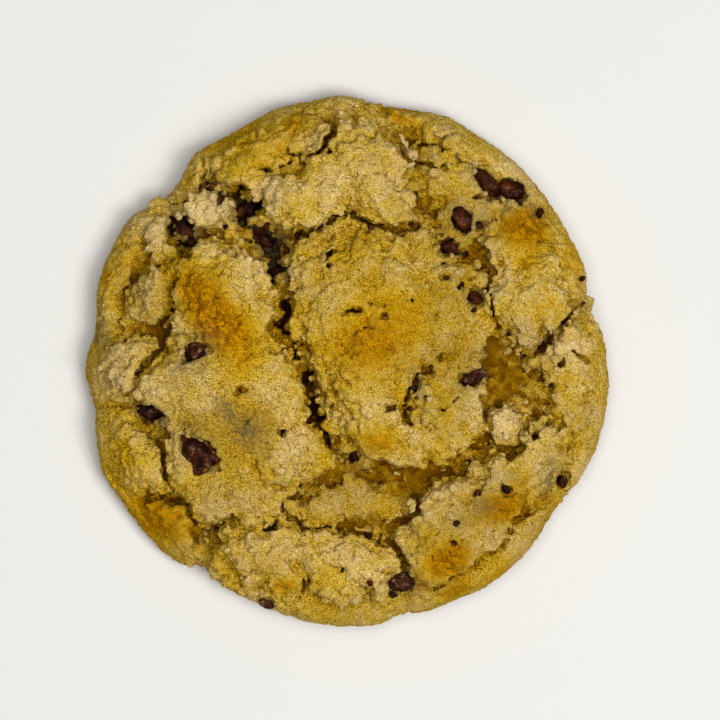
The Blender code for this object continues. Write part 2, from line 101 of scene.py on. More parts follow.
# Broken plates: name, lift over the dome, edge rounding, undercut, outline (x, y)
PLATES = (
    ("north_flap", 3.0, 1.1, 0.35, (
        (-16.2, 34.8), (-12.8, 36.9), (-8.9, 40.0), (-5.5, 40.4), (-2.8, 42.0), (-1.0, 45.6),
        (4.6, 46.9), (7.6, 45.6), (8.6, 43.0), (11.0, 40.4), (11.9, 33.4), (14.3, 30.4),
        (13.4, 27.0), (10.0, 25.7), (6.2, 26.7), (0.9, 28.4), (0.0, 30.2), (-2.8, 27.8),
        (-6.4, 27.3), (-8.8, 25.1), (-11.6, 24.9), (-13.4, 26.9), (-17.4, 28.0), (-17.2, 31.8))),
    ("north_west_crust", 1.6, 1.4, 0.1, (
        (-31, 41.5), (-22, 47), (-12, 52), (-3, 52), (1.2, 48.4), (-1.6, 45.8), (-3.6, 42.6),
        (-6, 40.9), (-9.8, 40.6), (-13.2, 37.8), (-17, 35.6), (-17.8, 32.6), (-20.2, 32.2),
        (-23.3, 34.0), (-24.6, 38))),
    ("north_west_rim", 0.6, 1.8, 0.0, (
        (-35, 33), (-31, 42), (-25.5, 40), (-24.3, 36.5), (-26, 33.6), (-29.5, 32.2), (-33.5, 31))),
    ("pale_crumb", 1.8, 1.8, 0.1, (
        (-33.0, 29.2), (-30.3, 32.2), (-26.8, 31.9), (-24.0, 32.7), (-22.8, 30.8), (-23.4, 28.2),
        (-25.4, 25.9), (-29.0, 24.6), (-31.6, 26.6))),
    ("north_ledge", -3.2, 1.6, 0.0, (
        (-5, 53), (9.5, 53), (8.6, 49.6), (5.4, 48.4), (1.5, 47.4), (-2, 49.2))),
    ("north_east_crust", 1.0, 1.8, 0.0, (
        (5.6, 47.8), (7.5, 50.5), (14, 52), (24, 49), (35, 43), (44, 32), (49, 20), (47.5, 15.6),
        (44.6, 12.6), (41, 13.5), (39, 21), (38.2, 27), (35.6, 31.4), (33.8, 35), (27.5, 38.6),
        (20, 41.4), (15.4, 43.6), (12.2, 46.2), (8.8, 45.4))),
    ("north_east_rubble", -0.6, 1.5, 0.0, (
        (9.4, 42.6), (12.4, 44.8), (20, 41), (27, 38.4), (33, 35), (30.4, 31.2), (30.6, 28),
        (26.8, 24.6), (21.5, 24.2), (14.4, 25.0), (15.0, 30.0), (12.4, 33.8), (11.6, 39))),
    ("east_crust", 1.5, 1.7, 0.0, (
        (30.2, 30.4), (33.0, 32.0), (36.4, 30.4), (39.6, 25), (41.4, 17), (44.2, 12.8), (42, 9.2),
        (38.6, 7.6), (36.8, 4.6), (35.8, 3.0), (32.6, 3.6), (30.6, 6.0), (28.6, 8.8), (28.6, 13),
        (29.4, 16.4), (26.6, 19.6), (25.6, 22.4), (28.6, 26))),
    ("centre_slab", 0.4, 1.3, 0.0, (
        (-9.6, 24.2), (-3, 27.2), (5, 27.2), (13, 23.8), (18.4, 21.8), (21, 18.4), (26.6, 16.2),
        (27.8, 12), (27, 6), (24, 3.4), (17.4, 1.2), (13.6, -1.0), (11.6, -4.6), (12.6, -8.2),
        (11.0, -12.6), (11.5, -18.6), (6.4, -18.5), (3.6, -16.8), (1.6, -13.2), (-1.6, -11.4),
        (-4.6, -10.6), (-3.8, -7.2), (-6.4, -4.2), (-5.8, -1.0), (-8.8, 1.0), (-9.4, 5.4),
        (-11.3, 8.2), (-11.8, 12.0), (-9.9, 13.6), (-11.0, 19.4))),
    ("south_centre_slab", 0.4, 1.4, 0.0, (
        (13.8, -5.6), (15.6, -3.4), (19.4, -1.8), (22.8, 1.4), (25.8, 0.2), (27.0, -3.4),
        (26.4, -6.2), (28.1, -12.6), (24.4, -15.2), (12, -18.6), (11.3, -12.6))),
    ("round_lump", -0.6, 2.6, 0.0, (
        (28.2, -8.8), (31.0, -6.8), (33.4, -7.8), (34.8, -11.4), (35, -14.2), (32.8, -16),
        (30.2, -15.0), (27.7, -12))),
    ("east_lumps", 0.6, 2.2, 0.0, (
        (37.6, 2.6), (40.4, 5.4), (43.4, 7.3), (48.4, 9.1), (53, 6), (53, -10), (49.5, -18),
        (44.4, -17), (42.2, -13.8), (40.2, -11), (39, -8), (39.9, -4.2))),
    ("south_east_slab", 2.0, 1.8, 0.1, (
        (15.4, -23.4), (18, -20.7), (21.6, -19.1), (25.6, -19.4), (26.4, -17.6), (29.8, -16.3),
        (31.8, -17.4), (34.2, -15.5), (37.2, -15.2), (38.8, -12.7), (41.0, -11.6), (41.8, -14),
        (42.4, -18.4), (42.0, -22.4), (38.4, -25.4), (33.4, -30.0), (27.3, -36.2), (25.2, -38.8),
        (17.4, -43.2), (14, -42.8), (11.8, -38.8), (8.6, -33.2), (9.2, -30.6), (13.5, -28.5),
        (14.0, -26))),
    ("south_lobe", 2.2, 2.4, 0.0, (
        (-8.0, -35.6), (-4.4, -33.7), (-0.5, -32.3), (3.0, -33.3), (5.6, -35.4), (9.0, -36.0),
        (11.3, -38.3), (12.0, -41.8), (9.0, -42.2), (7.6, -40.8), (5.2, -41.6), (4.0, -43.6),
        (0, -44.2), (-4.6, -42.8), (-8.2, -41.2))),
    ("south_crumb", 1.0, 1.4, 0.0, (
        (5.2, -42.2), (8.6, -42.2), (9.0, -44.6), (7.0, -47.4), (4.8, -46.4))),
    ("south_west_lobe", 2.0, 2.8, 0.0, (
        (-27.4, -37), (-24.8, -33.6), (-22.4, -30.8), (-14.7, -32.1), (-10.4, -30.8), (-8.2, -32.6),
        (-8.7, -37.6), (-8.0, -42), (-10, -44.9), (-14.6, -44.6), (-20, -42.6), (-25, -41.4))),
    ("middle_ridge", -1.8, 2.2, 0.0, (
        (-10.0, -27.8), (-6.0, -25.0), (-0.6, -23.2), (8, -22.2), (13.5, -22.2), (14.4, -25),
        (12.4, -28.2), (8.6, -30.2), (1.4, -30.6), (-1.0, -31.2), (-3.4, -33.0), (-6.4, -31.8),
        (-8.8, -30.0))),
    ("west_slab", 1.4, 1.4, 0.15, (
        (-17.8, 22.6), (-14.4, 18.4), (-13.8, 14), (-14.4, 9.8), (-12.2, 6.4), (-10.9, 3.0),
        (-10.8, 0.2), (-8.8, -1.8), (-7.1, -2.8), (-9.9, -4.9), (-8.0, -7.4), (-5.5, -8.4),
        (-5.2, -10.2), (-7.3, -12.6), (-5.0, -15.0), (-4.6, -18), (-1.0, -19.4), (-1.2, -22.0),
        (-6, -23.4), (-10.4, -24.9), (-11.1, -29.2), (-14.7, -31.6), (-21.8, -29.5),
        (-27.4, -30.6), (-31, -24.5), (-34.4, -19.6), (-34, -12.5), (-40.9, -7.4), (-41.2, -5.4),
        (-39.3, -1.4), (-36.6, 0.4), (-34.4, 3.8), (-31.4, 6.8), (-31.0, 9.2), (-32.6, 14),
        (-30.4, 20.4), (-28.6, 23.1), (-22, 23.6))),
    ("west_upper_lump", 0.8, 2.0, 0.0, (
        (-43.8, 7.5), (-42.5, 12.2), (-40.0, 16.8), (-36, 18.4), (-32.6, 17.8), (-33.2, 10.4),
        (-36, 7.8), (-41, 6.8))),
    ("north_west_lump", 0.5, 2.0, 0.0, (
        (-40, 20), (-39.6, 24.6), (-37, 28.6), (-34.2, 27.6), (-33.6, 23.8), (-30.6, 20.6),
        (-32.6, 17.6), (-37.6, 17.6))),
    ("west_rim_crust", 1.0, 2.6, 0.0, (
        (-40, 32.5), (-47, 25), (-51, 16), (-50, 11.4), (-45, 11.6), (-42, 16.8), (-40.2, 20.4),
        (-40, 25), (-37.3, 29), (-34.4, 29))),
    ("outer_shingle", 0.3, 1.6, 0.0, (
        (-48.2, 2), (-45.6, 5.6), (-41.9, 6.0), (-42.4, 2.6), (-45.6, -5.2), (-48, -3))),
    ("inner_shingle", 0.8, 1.6, 0.0, (
        (-42, 5.2), (-39.6, 6.5), (-36.8, 4.6), (-37.2, 0.4), (-39.7, -1.6), (-41.2, -5.8),
        (-45, -5.2))),
    ("west_low_lump", 0.2, 1.6, 0.0, (
        (-47.6, -6.6), (-44, -6.0), (-41, -8.2), (-41.8, -10.6), (-46, -11))),
    ("south_west_lump", 1.4, 3.0, 0.0, (
        (-48, -12), (-43, -11.2), (-38, -13.6), (-35, -17), (-31.4, -24), (-33, -25.2),
        (-42, -25.4), (-48, -24), (-51, -18))),
    ("toasted_lump", 1.2, 3.0, 0.0, (
        (-46, -26), (-40, -26.2), (-36.4, -25.4), (-31.2, -25.9), (-28.9, -29), (-28.3, -34.4),
        (-27.7, -41), (-34, -42), (-43, -34))),
)

# Rises and hollows of the whole top: x, y, half width, half height, turn in degrees, height
SWELLS = (
    (7.0, 4.0, 12.0, 12.0, 0, 1.0), (-14.0, -4.0, 5.0, 15.0, 15, 0.8), (27.0, -27.0, 10.0, 7.0, 45, 1.0),
    (36.0, 16.0, 5.5, 9.0, 0, 1.0), (0.0, 36.0, 12.0, 8.0, 0, 0.4), (-28.0, 10.0, 4.0, 9.0, 10, 0.8),
    (33.5, -2.0, 8.0, 4.4, 0, -4.4), (24.0, 2.0, 6.0, 3.0, 10, -1.6), (6.0, -22.0, 13.0, 3.0, 0, -3.8),
    (20.0, -19.5, 8.0, 2.2, 25, -1.6), (20.0, 32.0, 8.0, 9.0, -40, -1.8), (26.8, 9.0, 3.4, 9.0, 0, -1.8),
    (-36.0, 3.6, 4.4, 4.0, 0, -2.4), (-25.0, 27.6, 8.0, 3.0, 10, -2.2), (-28.0, -34.0, 2.8, 4.6, -30, -2.6),
    (-3.0, -13.0, 3.4, 4.0, 0, -1.4), (0.0, -31.6, 10.0, 2.2, 0, -1.8), (-3.0, 24.0, 12.0, 3.0, 0, -1.2),
    (-43.0, 9.0, 3.0, 3.0, 0, -1.8), (11.0, -33.0, 2.6, 7.0, 10, -1.6), (13.0, 44.0, 5.0, 2.0, -30, -1.4),
    (-36.0, -17.0, 2.6, 9.0, -10, -1.2), (16.5, 27.6, 3.4, 2.6, 0, -2.0), (15.0, -3.4, 3.6, 1.8, 10, -1.6),
    (-34.0, 8.4, 2.4, 2.8, 0, -1.8), (-9.6, -27.4, 2.2, 3.0, 0, -2.2), (9.0, -25.0, 6.0, 2.0, 0, -1.4),
    (39.0, -24.0, 3.0, 6.0, -40, -1.6), (30.0, 34.0, 7.0, 2.6, -40, -1.6), (14.6, 36.0, 2.2, 8.0, 8, -1.8),
)

# Cracks: half width at the top, depth, points (x, y)
CRACKS = (
    (1.3, 9.0, ((-13.0, 20.6), (-13.4, 16.0), (-13.1, 12.6), (-12.7, 10.0))),
    (1.1, 8.0, ((-12.9, 9.2), (-11.4, 6.0), (-10.0, 2.0), (-8.8, -0.6))),
    (1.4, 9.0, ((-8.8, -0.6), (-6.9, -2.4), (-7.6, -5.2), (-5.6, -8.4), (-5.0, -10.2))),
    (1.4, 7.5, ((-5.4, -9.6), (-6.2, -12.4), (-3.8, -14.4), (-2.6, -17.4), (0.6, -19.0))),
    (1.4, 8.0, ((0.4, -17.6), (2.2, -18.0), (4.6, -19.6), (9.0, -20.0))),
    (0.9, 5.0, ((9.0, -20.0), (15.6, -21.4), (19.0, -18.6), (25.0, -17.4), (27.6, -14.6))),
    (1.2, 6.5, ((-12.6, 23.4), (-9.0, 24.2), (-5.8, 26.4), (-2.6, 27.0), (0.2, 28.8), (5.0, 26.6))),
    (0.7, 3.0, ((5.0, 26.6), (9.8, 25.2), (13.6, 26.0))),
    (0.6, 2.6, ((11.6, 38.0), (8.6, 43.4), (7.4, 46.4))),
    (0.3, 2.0, ((-12.8, 37.6), (-9.4, 40.4), (-5.6, 40.8))),
    (0.6, 3.0, ((-5.6, 40.8), (-3.4, 42.4), (-1.4, 45.6))),
    (1.6, 7.5, ((-20.8, 32.6), (-19.8, 30.8))), (1.5, 6.5, ((-22.0, 33.0), (-18.6, 31.6))),
    (1.8, 8.5, ((-17.4, 23.8), (-14.4, 24.8))), (1.3, 8.5, ((-14.6, 24.0), (-12.9, 19.6))),
    (1.5, 8.0, ((-33.6, 26.8), (-32.6, 23.6), (-30.8, 21.2))),
    (0.7, 4.0, ((-31.0, 21.8), (-28.2, 24.2), (-24.4, 24.8), (-22.0, 23.4))),
    (1.0, 6.0, ((-26.6, 36.0), (-27.2, 33.8), (-24.8, 33.0), (-22.0, 33.0))),
    (0.7, 4.4, ((-29.6, 32.4), (-33.8, 29.6), (-34.2, 26.8))),
    (1.0, 6.0, ((-28.6, -38.4), (-28.4, -34.0), (-25.6, -32.4), (-22.0, -30.4))),
    (0.9, 6.0, ((-28.6, -38.4), (-27.6, -44.0))), (0.7, 4.5, ((12.2, -44.6), (13.0, -51.0))),
    (0.7, 4.0, ((-33.8, 29.6), (-37.0, 36.0))),
    (0.6, 3.5, ((-42.0, -9.2), (-50.0, -9.8))), (0.5, 3.5, ((-8.4, -42.0), (-10.8, -50.0))),
    (0.5, 3.5, ((-27.2, 33.8), (-28.0, 40.0), (-30.4, 46.0))), (0.5, 3.5, ((41.8, -23.6), (46.6, -27.0))),
    (0.8, 5.5, ((-28.4, -34.0), (-31.6, -26.0))),
    (0.7, 3.2, ((-31.6, -26.0), (-35.0, -20.0), (-35.6, -14.4))),
    (0.9, 6.5, ((-15.2, -31.8), (-11.6, -30.6), (-9.6, -30.8), (-8.4, -32.6))),
    (1.0, 5.5, ((-11.4, -28.6), (-10.4, -25.6), (-6.0, -24.2), (-1.6, -22.8), (-0.4, -20.0))),
    (0.7, 4.0, ((-8.4, -32.6), (-4.6, -33.4), (-1.0, -32.0), (2.4, -32.6), (5.2, -34.8), (8.6, -35.0))),
    (0.8, 5.0, ((7.8, -31.8), (8.6, -34.8), (11.4, -38.4), (12.6, -42.0), (12.2, -44.6))),
    (0.6, 3.4, ((9.0, -31.0), (13.6, -29.0), (14.4, -25.0), (15.0, -23.0))),
    (0.8, 5.0, ((20.0, 21.6), (24.6, 20.6), (27.4, 17.4), (28.4, 12.0), (28.0, 8.4), (31.0, 4.6))),
    (1.1, 6.0, ((33.8, 1.4), (36.2, 2.6), (38.2, 6.2), (42.0, 8.0))), (0.8, 5.0, ((42.0, 8.0), (45.4, 10.4))),
    (0.8, 4.5, ((27.6, -12.6), (28.0, -9.2), (30.0, -6.6))), (0.7, 4.0, ((28.0, -15.6), (32.6, -16.6))),
    (0.8, 4.5, ((36.6, -14.4), (36.0, -10.4), (38.0, -7.4), (39.0, -3.6))),
    (0.9, 5.0, ((42.4, -20.4), (41.8, -23.6))), (1.1, 6.5, ((39.6, -26.0), (34.6, -29.6))),
    (0.8, 5.0, ((16.0, -44.0), (25.5, -39.0), (30.0, -34.8), (34.6, -30.0))),
    (0.8, 5.0, ((38.6, -26.2), (41.8, -23.6))),
    (0.7, 4.0, ((-34.4, 6.4), (-35.6, 4.4), (-37.4, 1.2), (-40.0, -1.4))),
    (1.0, 6.0, ((-41.0, -8.8), (-37.6, -9.6))), (0.6, 3.4, ((-37.6, -9.6), (-34.6, -13.0))),
    (0.5, 2.2, ((-46.8, -20.6), (-40.0, -25.4), (-32.0, -26.4))),
    (0.3, 1.8, ((-46.4, 11.2), (-43.2, 13.0), (-40.8, 17.4), (-40.4, 22.0), (-38.0, 28.0))),
    (0.5, 2.4, ((-40.0, 6.2), (-36.0, 7.6), (-33.2, 11.0))),
    (0.6, 3.0, ((13.6, -1.0), (12.6, -4.4))), (0.35, 1.8, ((12.4, -7.4), (12.9, -9.8))),
    (0.9, 4.4, ((1.4, 48.6), (4.6, 48.0), (7.6, 48.6))),
    (0.3, 1.4, ((4.6, -6.2), (7.4, -7.9), (9.8, -7.4))),
    (0.6, 3.0, ((-5.2, 40.8), (-3.6, 42.8), (-2.0, 44.6))),
    (0.5, 2.4, ((13.4, 43.6), (15.0, 43.2), (16.8, 43.4))),
    (0.5, 2.4, ((12.4, 38.8), (15.0, 37.6), (17.2, 37.2))),
    (0.20, 0.9, ((3.6, 10.9), (5.4, 11.0), (7.1, 11.5))), (0.20, 1.1, ((-0.7, 4.5), (2.8, 6.0), (5.8, 5.8))),
    (0.35, 1.4, ((0.3, 9.2), (1.9, 9.8))), (0.45, 1.8, ((-3.6, 20.6), (-3.4, 18.6))),
    (0.45, 2.0, ((33.6, -29.4), (34.6, -30.8))),
    (0.45, 2.0, ((-13.0, -13.0), (-11.8, -13.4))), (0.45, 2.0, ((-8.6, -38.6), (-8.3, -36.8))),
    (0.20, 0.8, ((19.6, -9.6), (21.0, -8.0))),
    (0.45, 2.0, ((42.0, 0.0), (45.0, 1.6), (48.0, 1.2))), (0.45, 1.8, ((24.0, 33.0), (27.0, 31.4))),
)

# Holes left by bubbles: x, y, radius, depth
HOLES = (
    (-31.0, 21.6, 1.4, 7.0), (46.0, 8.6, 1.0, 3.0), (13.3, 32.8, 0.5, 1.8), (21.6, 14.6, 0.6, 2.2),
    (-44.4, 12.0, 0.7, 2.4), (-0.7, -40.0, 0.5, 1.6), (-3.3, 40.8, 0.5, 2.0), (3.4, -45.2, 0.6, 2.0),
    (34.8, -29.2, 0.9, 3.0), (22.4, 20.0, 0.5, 2.0), (18.8, 19.0, 0.5, 1.6), (-28.2, 33.4, 0.6, 2.0),
)

# How each chip shows: the middle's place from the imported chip's middle, half length, half width,
# turn in degrees, depth of its top under the dough, share covered by a floury film
CHIPS = {
    "chip_01": (0.5, -0.9, 3.5, 1.4, -50, 0.5, 0.10), "chip_02": (-0.6, 0.4, 2.7, 1.9, -10, 0.4, 0.05),
    "chip_03": (0.0, 0.0, 2.6, 1.9, -52, 0.4, 0.10), "chip_04": (0.0, 0.6, 1.8, 1.2, -15, 1.8, 0.05),
    "chip_05": (0.0, 0.0, 1.4, 1.1, -40, 0.5, 0.05), "chip_06": (1.0, -0.8, 2.6, 1.7, 40, 3.0, 0.05),
    "chip_07": (0.6, 0.4, 3.6, 1.7, -62, 2.6, 0.10), "chip_08": (0.2, -0.2, 3.0, 1.9, -50, 2.6, 0.16),
    "chip_09": (0.0, 0.0, 2.8, 1.8, 20, 0.3, 0.22), "chip_10": (-0.2, 0.2, 2.9, 1.4, -20, 0.7, 0.25),
    "chip_11": (0.4, 0.0, 4.1, 2.4, -38, 0.3, 0.22), "chip_12": (0.0, 0.0, 1.7, 1.1, 0, 3.0, 0.05),
    "chip_13": (-0.1, -0.2, 2.1, 1.1, -72, 0.8, 0.10), "chip_14": (-0.2, 0.0, 2.3, 1.3, 25, 0.4, 0.25),
    "chip_15": (-0.4, 0.4, 2.3, 1.8, 10, 0.6, 0.26), "chip_16": (0.2, -0.8, 1.5, 0.8, -25, 0.2, 0.20),
}

# Small bits of chip in the dough's surface: x, y, radius
CHIP_BITS = (
    (19.3, 16.4, 0.55), (24.6, 10.2, 0.5), (22.4, 15.2, 0.45), (12.6, 12.1, 0.35), (-24.4, 31.6, 0.9),
    (-26.2, 34.0, 1.0), (-25.0, 32.8, 0.6), (-30.0, 23.2, 0.9), (-28.8, -20.6, 1.2), (1.6, -17.8, 1.2),
    (4.2, -33.4, 0.9), (4.6, -42.6, 0.6), (12.2, -8.8, 0.5), (15.4, -6.4, 0.4), (41.9, -23.0, 1.1),
    (20.8, -34.8, 0.6), (21.2, -31.0, 0.6), (25.3, -25.2, 0.7), (30.8, -24.4, 0.8), (12.4, 26.9, 0.6),
    (45.8, 16.4, 0.6), (37.6, 29.0, 0.9), (4.6, 26.4, 0.9), (25.7, 26.6, 0.8), (33.6, 30.8, 0.5),
    (-33.8, 27.6, 0.6), (7.4, 9.2, 0.3), (-3.2, 20.4, 0.45), (-23.4, 26.4, 0.5), (-11.6, 21.8, 0.7),
    (9.0, -44.9, 0.7), (-20.4, -5.2, 0.35), (27.6, -15.8, 0.4), (-15.4, 26.6, 0.8), (16.0, 28.8, 0.45),
)
BIT_SINK = 0.30             # depth of a bit's top under the dough
POCKET_GAP = 0.15           # room round a chip in its pocket

# Toasted patches: x, y, half width, half height, turn in degrees, strength
TOAST_PATCHES = (
    (-25.8, 9.5, 4.2, 9.0, 38, 0.9), (-30.0, 15.5, 2.4, 3.6, 20, 0.5), (5.5, 4.0, 8.5, 6.5, 20, 0.55),
    (12.0, 9.0, 6.0, 5.0, 0, 0.38), (34.4, 26.4, 4.4, 3.8, 0, 0.85), (36.0, 19.2, 3.0, 1.6, 0, 0.4),
    (30.5, -27.6, 5.0, 3.0, 20, 0.7), (33.0, -23.5, 3.0, 2.0, 30, 0.4), (20.0, -38.0, 4.2, 2.8, 25, 0.9),
    (21.5, -44.0, 4.0, 1.8, 20, 0.5), (14.5, -42.5, 3.4, 2.6, 20, 0.45), (-20.0, 2.0, 3.0, 4.0, 30, 0.4),
    (-36.5, -30.0, 6.5, 5.0, -40, 0.62), (-10.0, 46.0, 2.0, 2.6, 0, 0.5),
    (-27.0, 44.0, 5.0, 2.0, 40, 0.3), (9.8, 47.6, 2.4, 1.2, -30, 0.6), (6.0, -15.2, 4.0, 2.4, 0, 0.55),
    (-46.5, 16.5, 1.8, 2.6, 0, 0.5), (-11.4, -43.0, 2.6, 1.4, 0, 0.5), (-15.0, -38.5, 3.0, 2.2, 0, 0.3),
    (-18.0, -10.0, 3.5, 5.0, 0, 0.3), (40.0, 12.0, 3.0, 3.0, 0, 0.2), (-15.0, 42.0, 9.0, 5.0, 25, 0.32),
    (-44.0, 19.0, 3.0, 8.0, -20, 0.34), (44.5, 19.0, 2.4, 6.0, 15, 0.34), (40.0, -31.0, 7.0, 2.4, 48, 0.32),
    (30.0, -41.0, 7.0, 2.2, 38, 0.34), (-41.0, -20.0, 5.0, 4.0, 0, 0.26), (6.0, 16.0, 9.0, 5.0, 0, 0.22),
    (28.0, -19.0, 4.0, 3.0, 0, 0.22),
)

# Patches of painted shade on low, sloping or shadowed dough, the same way
PAINTED_SHADE_PATCHES = (
    (0.0, -26.5, 10.0, 4.5, 0, 0.9), (24.0, -29.5, 11.0, 6.0, 42, 0.9), (20.0, -45.0, 9.0, 4.0, 10, 0.6),
    (-39.0, 14.0, 5.0, 9.0, 0, 0.7), (20.0, 32.0, 9.0, 6.0, -40, 0.5), (-46.0, -2.0, 3.6, 9.0, 0, 0.6),
    (46.0, -12.0, 4.0, 8.0, 0, 0.5), (33.5, -2.0, 8.0, 5.0, 0, 0.4), (4.0, 18.0, 12.0, 5.0, 0, 0.4),
    (40.0, 0.0, 5.0, 4.0, 0, 0.3), (-22.0, -24.0, 6.0, 4.0, 0, 0.3), (-16.0, -38.0, 9.0, 5.0, 0, 0.35),
    (37.0, -33.0, 10.0, 4.0, 48, 0.7), (0.0, -48.0, 10.0, 3.0, 0, 0.6), (14.6, 36.0, 2.4, 9.0, 8, 0.8),
    (22.0, 27.0, 7.0, 7.0, 0, 1.0), (36.0, 30.0, 4.0, 4.0, 0, 0.4), (-7.0, -20.0, 5.0, 3.0, 0, 0.4),
    (9.0, 0.0, 8.0, 9.0, 0, 0.25),
    (21.0, 13.0, 6.0, 7.0, 0, 0.8), (21.0, 2.0, 7.0, 5.0, 0, 1.0), (19.0, -9.0, 7.0, 6.0, 0, 0.6),
    (36.0, 4.0, 5.0, 4.0, 0, 0.7), (-23.0, -14.0, 9.0, 7.0, 0, 0.55), (-24.0, -27.0, 9.0, 6.0, 0, 0.65),
    (-29.0, -36.0, 4.0, 5.0, 0, 0.6), (-37.0, -12.0, 4.0, 4.0, 0, 0.6), (4.0, -20.0, 6.0, 3.0, 0, 0.6),
    (-5.0, 12.0, 4.0, 4.0, 0, 0.6),
)

# Pale patches, the same way
PALE_PATCHES = (
    (-13.5, 34.0, 3.0, 4.0, 0, 0.8), (-3.0, 34.5, 4.0, 4.0, 0, 0.6), (7.5, 34.0, 3.0, 9.0, 0, 0.4),
    (-31.5, -3.0, 4.5, 4.5, 0, 0.8), (-28.0, -7.5, 4.0, 3.0, 0, 0.8), (-16.0, -6.0, 4.0, 3.0, 0, 0.6),
    (-10.0, -15.5, 3.0, 5.0, 0, 0.7), (-17.5, 18.5, 4.0, 4.0, 0, 0.6), (24.0, -8.5, 2.2, 2.8, 0, 1.0),
    (31.5, -11.5, 3.0, 3.4, 0, 1.0), (13.5, 18.0, 3.0, 3.0, 0, 0.5), (3.0, -8.0, 4.0, 3.0, 0, 0.5),
    (2.0, -41.0, 4.0, 2.5, 0, 0.7), (-4.0, -37.0, 7.0, 2.6, 0, 0.6), (43.5, 3.5, 3.5, 3.0, 0, 0.8),
    (35.0, 14.0, 5.0, 4.0, 0, 0.5), (-27.5, 29.5, 4.0, 3.0, 0, 1.0), (-37.5, 22.5, 3.0, 5.0, 0, 0.9),
    (-38.5, 13.0, 4.0, 5.0, 0, 0.7), (-25.0, -26.0, 5.0, 4.0, 0, 0.5), (-15.0, -22.0, 5.0, 6.0, 0, 0.3),
    (46.5, 20.0, 3.0, 8.0, 0, 0.7), (36.0, 37.0, 6.0, 6.0, 0, 0.6), (38.0, -20.0, 2.5, 3.5, 0, 0.6),
    (48.0, -12.0, 4.0, 8.0, 0, 0.4), (-44.0, -2.0, 4.0, 5.0, 0, 0.4), (34.0, -38.0, 5.0, 5.0, 0, 0.3),
    (-15.0, -33.0, 5.0, 2.0, 0, 0.4), (20.0, -26.0, 4.0, 3.0, 0, 0.3), (-5.0, -27.0, 3.5, 2.5, 0, 0.5),
    (-12.0, 38.0, 3.0, 3.0, 0, 0.4), (-40.0, 20.0, 3.0, 4.0, 0, 0.5), (28.0, 21.0, 3.0, 3.0, 0, 0.5),
    (12.0, -29.0, 3.0, 2.0, 0, 0.5),
)

# Where the crust is smooth, the same way
SMOOTH_PATCHES = (
    (33.0, 40.5, 14.0, 4.5, -42, 0.85), (46.0, 22.0, 3.4, 10.0, 20, 0.85), (36.0, -38.0, 16.0, 5.0, 45, 0.85),
    (20.0, -47.0, 9.0, 3.4, 15, 0.85), (-30.0, -4.0, 6.5, 6.5, 0, 0.95), (-35.0, -33.0, 7.0, 6.0, -40, 0.7),
    (0.0, -48.5, 12.0, 2.8, 0, 0.8), (-20.0, 44.0, 10.0, 5.0, 30, 0.6), (49.0, -6.0, 2.4, 10.0, 0, 0.7),
    (-48.0, -6.0, 3.0, 14.0, 0, 0.7), (-42.0, 28.0, 5.0, 8.0, -40, 0.5), (35.0, 27.0, 4.5, 4.0, 0, 0.6),
)

# Greyish film where chips lie just under the dough, the same way
FILM_PATCHES = (
    (-18.6, -13.2, 3.6, 3.0, -30, 1.0), (-22.6, -9.5, 3.4, 1.8, -40, 0.9), (26.0, -27.6, 1.8, 1.6, 0, 0.7),
    (39.6, -21.5, 1.8, 4.0, -10, 0.8), (-48.0, 6.5, 2.0, 4.0, 10, 1.0), (46.4, 10.8, 2.4, 1.8, 0, 0.7),
    (22.0, -30.6, 1.4, 1.2, 0, 0.5), (26.6, 28.2, 1.4, 1.8, 0, 0.5), (-30.5, 0.4, 2.8, 2.0, 0, 0.7),
    (12.2, -43.4, 2.4, 1.8, 0, 0.7), (-28.4, -15.0, 4.0, 3.4, 0, 0.6), (-29.0, 3.2, 3.4, 2.8, 0, 0.7),
    (22.6, -4.6, 2.6, 1.4, 0, 0.6), (37.4, 29.4, 2.4, 1.6, 0, 0.5), (-24.4, 31.4, 1.6, 1.8, 0, 0.6),
    (32.5, 31.4, 3.0, 1.4, 0, 0.5), (-33.5, 27.0, 1.6, 2.0, 0, 0.6), (-12.6, 24.6, 1.6, 1.6, 0, 0.8),
    (32.0, -22.0, 1.2, 1.2, 0, 0.4),
)

# The crumbly relief of the whole dough: width of its crumbs, height, seed
CRUMB_RELIEF = ((2.7, 0.24, 21), (1.5, 0.31, 22))
GRAIN_WIDTH = 1.0           # the finest crumbs, which move the mesh's own points
GRAIN_HEIGHT = 0.34
GRIT = 0.07                 # and grit on top of them

# Loose crumbs: number, smallest and largest radius
LOOSE_CRUMBS = 600
SMALLEST_CRUMB = 0.30
LARGEST_CRUMB = 0.85

MOST_TRIANGLES = 196000     # of each half of the dough

# The dough is two pieces, which meet along its deepest cracks: the line between them
SEAM = (
    (-33.0, 56.0), (-28.0, 40.0), (-26.8, 34.0), (-22.0, 33.0), (-19.6, 30.6), (-17.0, 24.4), (-13.2, 20.6),
    (-13.4, 16.0), (-12.9, 9.2), (-11.4, 6.0), (-8.8, -0.6), (-6.9, -2.4), (-7.6, -5.2), (-5.2, -9.8),
    (-6.2, -12.4), (-2.6, -17.4), (-0.4, -20.0), (-1.6, -22.8), (-6.0, -24.2), (-10.4, -25.6), (-11.4, -29.6),
    (-9.6, -30.8), (-8.4, -32.6), (-4.6, -33.4), (-1.0, -32.0), (2.4, -32.6), (5.2, -34.8), (8.6, -35.0),
    (11.4, -38.4), (12.6, -42.0), (12.2, -44.6), (13.0, -56.0),
)
SEAM_LAP = 0.5              # how far each piece reaches past that line

# ---------------------------------------------------------------- the grid

